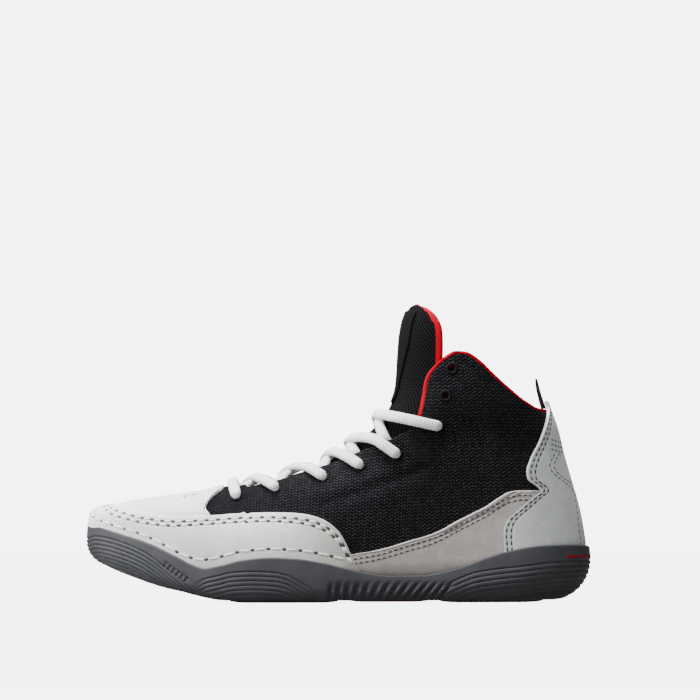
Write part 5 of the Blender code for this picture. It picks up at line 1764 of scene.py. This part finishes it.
def full_colour(value):
    """A colour with its alpha, or the number as it is."""
    return (*value, 1.0) if isinstance(value, tuple) and len(value) == 3 else value


class Finish:
    """A material under construction: its shader, and short ways to add and join nodes."""

    def __init__(self, name, colour, roughness, **sockets):
        self.made = bpy.data.materials.new(name)
        self.made.use_nodes = True
        self.tree = self.made.node_tree
        self.shader = self.tree.nodes["Principled BSDF"]
        self.set("Base Color", colour)
        self.set("Roughness", roughness)
        for socket, value in sockets.items():
            self.set(socket.replace("_", " "), value)

    def set(self, socket, value):
        self.shader.inputs[socket].default_value = full_colour(value)

    def node(self, kind, **values):
        made = self.tree.nodes.new(kind)
        for name, value in values.items():
            setattr(made, name, value)
        return made

    def join(self, out, into):
        self.tree.links.new(out, into)

    def math(self, operation, *values):
        made = self.node("ShaderNodeMath", operation=operation)
        for socket, value in zip(made.inputs, values):
            if isinstance(value, (int, float)):
                socket.default_value = value
            else:
                self.join(value, socket)
        return made.outputs[0]

    def place(self):
        return self.node("ShaderNodeTexCoord").outputs["Object"]

    def parts(self, source):
        """The three coordinates of a place or a map."""
        made = self.node("ShaderNodeSeparateXYZ")
        self.join(source, made.inputs[0])
        return made.outputs

    def cloth(self, turn=0.0, scale=(1, 1, 1)):
        """The map in metres, turned and scaled."""
        source = self.node("ShaderNodeUVMap", uv_map="cloth")
        mapping = self.node("ShaderNodeMapping")
        mapping.inputs["Rotation"].default_value = (0, 0, turn)
        mapping.inputs["Scale"].default_value = scale
        self.join(source.outputs[0], mapping.inputs[0])
        return mapping.outputs[0]

    def noise(self, size, detail=3.0):
        """Noise whose features are about this large."""
        made = self.node("ShaderNodeTexNoise")
        made.inputs["Scale"].default_value = 1 / size
        made.inputs["Detail"].default_value = detail
        self.join(self.place(), made.inputs["Vector"])
        return made.outputs["Fac"]

    def ramp(self, value, low, high, first=0.0, final=1.0):
        made = self.node("ShaderNodeMapRange", clamp=True)
        for socket, number in zip(("From Min", "From Max", "To Min", "To Max"), (low, high, first, final)):
            made.inputs[socket].default_value = number
        self.join(value, made.inputs["Value"])
        return made.outputs["Result"]

    def mix(self, share, first, second):
        made = self.node("ShaderNodeMix", data_type="RGBA")
        for socket, value in ((made.inputs[0], share), (made.inputs[6], first), (made.inputs[7], second)):
            if isinstance(value, (int, float, tuple)):
                socket.default_value = full_colour(value)
            else:
                self.join(value, socket)
        return made.outputs[2]

    def bump(self, height, distance, strength=1.0, under=None):
        made = self.node("ShaderNodeBump")
        made.inputs["Distance"].default_value = distance
        made.inputs["Strength"].default_value = strength
        self.join(height, made.inputs["Height"])
        if under is not None:
            self.join(under, made.inputs["Normal"])
        return made.outputs["Normal"]

    def colour_from(self, output):
        self.join(output, self.shader.inputs["Base Color"])

    def normal_from(self, output):
        self.join(output, self.shader.inputs["Normal"])


def suede_finish(name, light, dark, painted_shade=None):
    """Brushed suede: patches of pile over a fine grain, and painted shade between two places along the
    shoe.
    """
    suede = Finish(name, light, 0.92, Sheen_Weight=0.2, Sheen_Roughness=0.5, Specular_IOR_Level=0.2)
    patches = suede.ramp(suede.noise(9 * MM, 4.0), 0.38, 0.64)
    grain = suede.noise(0.55 * MM, 4.0)
    speckle = suede.ramp(grain, 0.32, 0.68)
    share = suede.math("MULTIPLY_ADD", patches, 0.35, suede.math("MULTIPLY", speckle, 0.42))
    mixed = suede.mix(share, light, dark)
    if painted_shade:
        # Painted shade: darker towards the rear of the guard and low down behind the toe, in soft blotches.
        x, _, z = suede.parts(suede.place())
        shade_share = suede.ramp(x, painted_shade[0], painted_shade[1])
        low = suede.math("MULTIPLY", suede.ramp(z, 44 * MM, 24 * MM), 0.3)
        behind_toe = suede.ramp(x, -115 * MM, -75 * MM)
        shade_share = suede.math("MAXIMUM", shade_share, suede.math("MULTIPLY", low, behind_toe))
        shade_share = suede.math("MULTIPLY", shade_share, suede.ramp(suede.noise(7 * MM, 4.0), 0.30, 0.62, 0.72, 1.0))
        mixed = suede.mix(shade_share, mixed, painted_shade[2])
    suede.colour_from(mixed)
    coarse = suede.bump(suede.noise(2.2 * MM, 3.0), 0.25 * MM, 0.5)
    suede.normal_from(suede.bump(grain, 0.14 * MM, 0.9, coarse))
    return suede.made


def knit_finish(name, low, high, wide, tall):
    """A knit of zigzag rows of raised yarn with dark gaps between them, the yarn lighter partly as painted
    highlight, and painted shade over the forefoot.
    """
    knit = Finish(name, low, 0.85, Specular_IOR_Level=0.03)
    u, v, _ = knit.parts(knit.cloth())
    wobble = knit.math("MULTIPLY", knit.noise(4 * MM, 2.0), 1.6 * MM)
    zigzag = knit.math("PINGPONG", knit.math("ADD", u, wobble), wide / 2)
    phase = knit.math("MULTIPLY_ADD", zigzag, 0.72, v)
    wave = knit.math("SINE", knit.math("MULTIPLY", phase, 2 * math.pi / tall))
    joint = knit.math("SINE", knit.math("MULTIPLY", u, 4 * math.pi / wide))
    rise = knit.ramp(knit.math("ADD", wave, knit.math("MULTIPLY", joint, 0.45)), 0.0, 1.15)
    uneven = knit.ramp(knit.noise(2.6 * MM, 3.0), 0.36, 0.66, 0.3, 1.0)
    # Painted shade: the knit is painted darker towards the forefoot.
    front_painted_shade = knit.ramp(knit.parts(knit.place())[0], 10 * MM, -45 * MM, 1.0, 0.55)
    share = knit.math("MULTIPLY", knit.math("MULTIPLY", rise, uneven), front_painted_shade)
    # The raised yarn's lighter colour is partly the knit's pattern and partly painted highlight.
    knit.colour_from(knit.mix(share, low, high))
    fine = knit.bump(knit.noise(0.3 * MM, 2.0), 0.05 * MM, 0.5)
    knit.normal_from(knit.bump(rise, 0.5 * MM, 1.0, fine))
    return knit.made


def holed_finish(name, low, high, pitch):
    """A spacer mesh with rows of round holes."""
    mesh = Finish(name, high, 0.85, Specular_IOR_Level=0.03)
    cells = mesh.node("ShaderNodeTexVoronoi", voronoi_dimensions="2D")
    cells.inputs["Scale"].default_value = 1.0
    cells.inputs["Randomness"].default_value = 0.0
    mesh.join(mesh.cloth(math.radians(45), (1 / pitch, 1 / pitch, 1)), cells.inputs["Vector"])
    rise = mesh.ramp(cells.outputs["Distance"], 0.22, 0.40)
    mesh.colour_from(mesh.mix(rise, low, high))
    mesh.normal_from(mesh.bump(rise, 0.6 * MM, 0.9))
    return mesh.made


def rubber_finish(name, colour, darker):
    rubber = Finish(name, colour, 0.6, Specular_IOR_Level=0.22)
    share = rubber.ramp(rubber.noise(14 * MM, 4.0), 0.35, 0.7)
    rubber.colour_from(rubber.mix(share, colour, darker))
    rubber.normal_from(rubber.bump(rubber.noise(0.4 * MM, 2.0), 0.03 * MM, 0.5))
    return rubber.made


def cord_finish(name, light, dark):
    """The lace's braid: small slanted strokes that meet in its middle."""
    cord = Finish(name, light, 0.85, Sheen_Weight=0.2, Subsurface_Weight=0.05)
    u, v, _ = cord.parts(cord.cloth())
    slanted = cord.math("ADD", u, cord.math("MULTIPLY", cord.math("ABSOLUTE", v), 0.9))
    along_it = cord.math("MULTIPLY", slanted, 2 * math.pi / (1.5 * MM))
    across_it = cord.math("MULTIPLY", v, 2 * math.pi / (1.6 * MM))
    weave = cord.math("MULTIPLY", cord.math("SINE", along_it), cord.math("COSINE", across_it))
    shade = cord.ramp(weave, -0.9, 0.3)
    cord.colour_from(cord.mix(shade, dark, light))
    cord.normal_from(cord.bump(weave, 0.22 * MM, 0.8))
    return cord.made


def plain_finish(name, colour, roughness, grain=0.4, depth=0.03, **sockets):
    made = Finish(name, colour, roughness, **sockets)
    made.normal_from(made.bump(made.noise(grain * MM, 2.0), depth * MM, 0.6))
    return made.made


def hole_shade_finish(name, dark, pale):
    """Painted shade for needle holes: dark on the sides, paler over the toe."""
    hole = Finish(name, dark, 0.9)
    # The painted shade is paler towards the toe.
    paler_at_toe = hole.ramp(hole.parts(hole.place())[0], -92 * MM, -126 * MM)
    hole.colour_from(hole.mix(paler_at_toe, dark, pale))
    return hole.made


# The camera and the light.


def camera():
    lens = bpy.data.cameras.new("camera")
    lens.type = "PERSP"
    lens.sensor_width = 36
    lens.lens = 36 * CAMERA_DISTANCE / FRAME_WIDTH
    lens.clip_end = 20
    seen = bpy.data.objects.new("camera", lens)
    seen.location = (AIM_X, -CAMERA_DISTANCE, AIM_Z)
    seen.rotation_euler = (math.radians(90), 0, 0)
    bpy.context.scene.collection.objects.link(seen)
    bpy.context.scene.camera = seen


def area_light(name, place, aim, width, height, power, colour=(1, 1, 1)):
    lamp = bpy.data.lights.new(name, "AREA")
    lamp.shape = "RECTANGLE"
    lamp.size, lamp.size_y = width, height
    lamp.energy = power
    lamp.color = colour
    made = bpy.data.objects.new(name, lamp)
    made.location = place
    way = Vector(aim) - Vector(place)
    made.rotation_euler = way.to_track_quat("-Z", "Y").to_euler()
    bpy.context.scene.collection.objects.link(made)


def lights():
    """A bright backdrop that the camera sees, and a soft room that lights the shoe."""
    world = bpy.data.worlds.new("studio")
    world.use_nodes = True
    tree = world.node_tree
    room, backdrop = tree.nodes["Background"], tree.nodes.new("ShaderNodeBackground")
    for light, strength in ((room, ROOM_LIGHT), (backdrop, BACKDROP_LIGHT)):
        light.inputs["Color"].default_value = (1, 1, 1, 1)
        light.inputs["Strength"].default_value = strength
    seen = tree.nodes.new("ShaderNodeLightPath")
    both = tree.nodes.new("ShaderNodeMixShader")
    tree.links.new(seen.outputs["Is Camera Ray"], both.inputs[0])
    tree.links.new(room.outputs[0], both.inputs[1])
    tree.links.new(backdrop.outputs[0], both.inputs[2])
    tree.links.new(both.outputs[0], tree.nodes["World Output"].inputs["Surface"])
    bpy.context.scene.world = world
    area_light("overhead", (-0.35, -0.08, 1.4), (0, 0, 0.08), 1.3, 0.8, 83)
    area_light("toe_side", (-1.25, -0.35, 0.6), (0, 0, 0.06), 0.7, 0.5, 25)
    area_light("front", (-0.5, -2.0, 0.9), (0, 0, 0.08), 1.0, 0.8, 6)


def floor():
    """A pale floor that lets the backdrop through, so that it shows no edge and only a faint shadow."""
    bpy.ops.mesh.primitive_plane_add(size=4.0, location=(0, 0, -0.5 * MM))
    made = bpy.context.object
    made.name = "studio_floor"
    pale = Finish("pale_floor", (0.9, 0.9, 0.9), 1.0, Specular_IOR_Level=0.0, Alpha=FLOOR_STRENGTH)
    made.data.materials.append(pale.made)


def main():
    # The knit's lighter colour is partly painted highlight, on its raised yarn.
    black = knit_finish("black_knit", (0.005, 0.005, 0.006), (0.052, 0.054, 0.058), 3.5 * MM, 1.95 * MM)
    red = plain_finish("red_lining", (0.38, 0.0006, 0.012), 0.95, 0.6, 0.10, Specular_IOR_Level=0.03)
    dark_red = plain_finish("red_rubber", (0.20, 0.003, 0.008), 0.6, Specular_IOR_Level=0.15)
    mesh = holed_finish("tongue_mesh", (0.001, 0.001, 0.0015), (0.0085, 0.0085, 0.0095), 1.9 * MM)
    label = plain_finish("label", (0.004, 0.004, 0.005), 0.8, Specular_IOR_Level=0.06)
    # Painted shade on the light suede: where along the shoe it starts and where it is full, and its colour.
    painted_shade = (-30 * MM, 16 * MM, (0.30, 0.285, 0.265))
    light = suede_finish("light_suede", (0.87, 0.855, 0.82), (0.60, 0.585, 0.55), painted_shade)
    warm = suede_finish("warm_suede", (0.43, 0.393, 0.377), (0.275, 0.248, 0.237))
    cool = suede_finish("cool_suede", (0.58, 0.615, 0.605), (0.40, 0.43, 0.42))
    light_edge = plain_finish("light_cut_edge", (0.88, 0.88, 0.86), 0.9)
    grey_edge = plain_finish("grey_cut_edge", (0.62, 0.62, 0.61), 0.9)
    thread_light = plain_finish("thread_light", (0.85, 0.85, 0.83), 0.7)
    thread_grey = plain_finish("thread_grey", (0.24, 0.235, 0.23), 0.8)
    thread_cool = plain_finish("thread_cool", (0.34, 0.36, 0.355), 0.8)
    # Painted shade for the needle holes, and on the guard paler over the toe.
    needle_hole_shade = plain_finish("needle_hole_shade", (0.045, 0.042, 0.042), 0.9)
    guard_hole_shade = hole_shade_finish("guard_hole_shade", (0.050, 0.046, 0.045), (0.17, 0.155, 0.145))
    rubber = rubber_finish("grey_rubber", (0.056, 0.057, 0.063), (0.043, 0.045, 0.051))
    tread = rubber_finish("tread_rubber", (0.060, 0.062, 0.070), (0.045, 0.047, 0.054))
    footbed = plain_finish("footbed_foam", (0.012, 0.012, 0.013), 0.95, 0.8, 0.08)
    webbing = plain_finish("tab_webbing", (0.008, 0.008, 0.009), 0.85, 0.5, 0.08)
    cord = cord_finish("white_cord", (0.93, 0.93, 0.93), (0.62, 0.62, 0.63))
    ring = plain_finish("ring_paint", (0.004, 0.004, 0.005), 0.65, Specular_IOR_Level=0.12)

    knit, lining = shell((black, red))
    for piece, slot in ((knit, "black_mesh"), (lining, "black_mesh")):
        place(piece, slot, "upper")
    toe_seams = Seams(6.4 * MM, 3.9 * MM, 0.50 * MM, 0.80 * MM)
    fine_seams = Seams(3.2 * MM, 1.8 * MM, 0.26 * MM, 0.40 * MM)
    side_seams = Seams(3.4 * MM, 1.2 * MM, 0.3 * MM, 0.46 * MM)
    heel_seams = Seams(3.6 * MM, 1.4 * MM, 0.3 * MM, 0.46 * MM)
    guard, vamp = toe_pieces([light, light_edge], toe_seams, fine_seams)
    place(guard, "light_suede", "toe_guard")
    place(vamp, "light_suede", "vamp")
    for side, node in zip((-1, 1), PANELS):
        panel = panel_piece(node + "_suede", side, [warm, grey_edge], side_seams)
        place(panel, "warm_grey_suede", node)
    place(counter_piece([cool, light_edge], heel_seams), "cool_grey_suede", "heel_counter")
    for seams, name, thread, hole, slot, *nodes in (
        (toe_seams, "guard", thread_light, guard_hole_shade, "light_suede", "toe_guard"),
        (fine_seams, "vamp", thread_light, needle_hole_shade, "light_suede", "vamp"),
        (side_seams, "panel", thread_grey, needle_hole_shade, "warm_grey_suede", *PANELS),
        (heel_seams, "counter", thread_cool, needle_hole_shade, "cool_grey_suede", "heel_counter"),
    ):
        for piece in seams.build(name, thread, hole):
            place(piece, slot, *nodes)
    tongue = tongue_piece([mesh, red])
    place(tongue, "black_mesh", "tongue")
    place(label_piece(label), "black_label", "tongue_label")
    rings = [f"eyelet_{word}_{n + 1}" for word in ("lateral", "medial") for n in range(len(EYELETS))]
    place(ring_meshes(ring), "black_ring", *rings)
    lace, length = lace_piece(cord)
    print("lace length, in metres:", round(length, 3))
    place(lace, "white_cord", "lace_bar", *[f"lace_crossing_{n + 1}" for n in range(LACED_ROWS - 1)])
    place(sole_piece([rubber]), "grey_rubber", "outsole")
    place(heel_inlay(dark_red), "red_rubber", "outsole")
    place(tread_piece("ball_pad", *BALL_PAD, 0.0, 0.0, tread), "tread_rubber", "forefoot_tread")
    place(tread_piece("heel_pad", *HEEL_PAD, 0.0, 0.0, tread), "tread_rubber", "heel_tread")
    arch = tread_piece("arch_piece", *ARCH, 0.35 * MM, 4.0 * MM, dark_red, False)
    place(arch, "red_rubber", "arch_insert")
    place(insole_piece(footbed), "footbed", "insole")
    place(tab_piece(webbing), "black_webbing", "pull_tab")
    camera()
    lights()
    floor()


def place(piece, slot, *nodes):
    """Hands a finished piece to the frame, in place of the CAD nodes that it stands for."""
    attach(piece, "root")
    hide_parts(*nodes)


main()
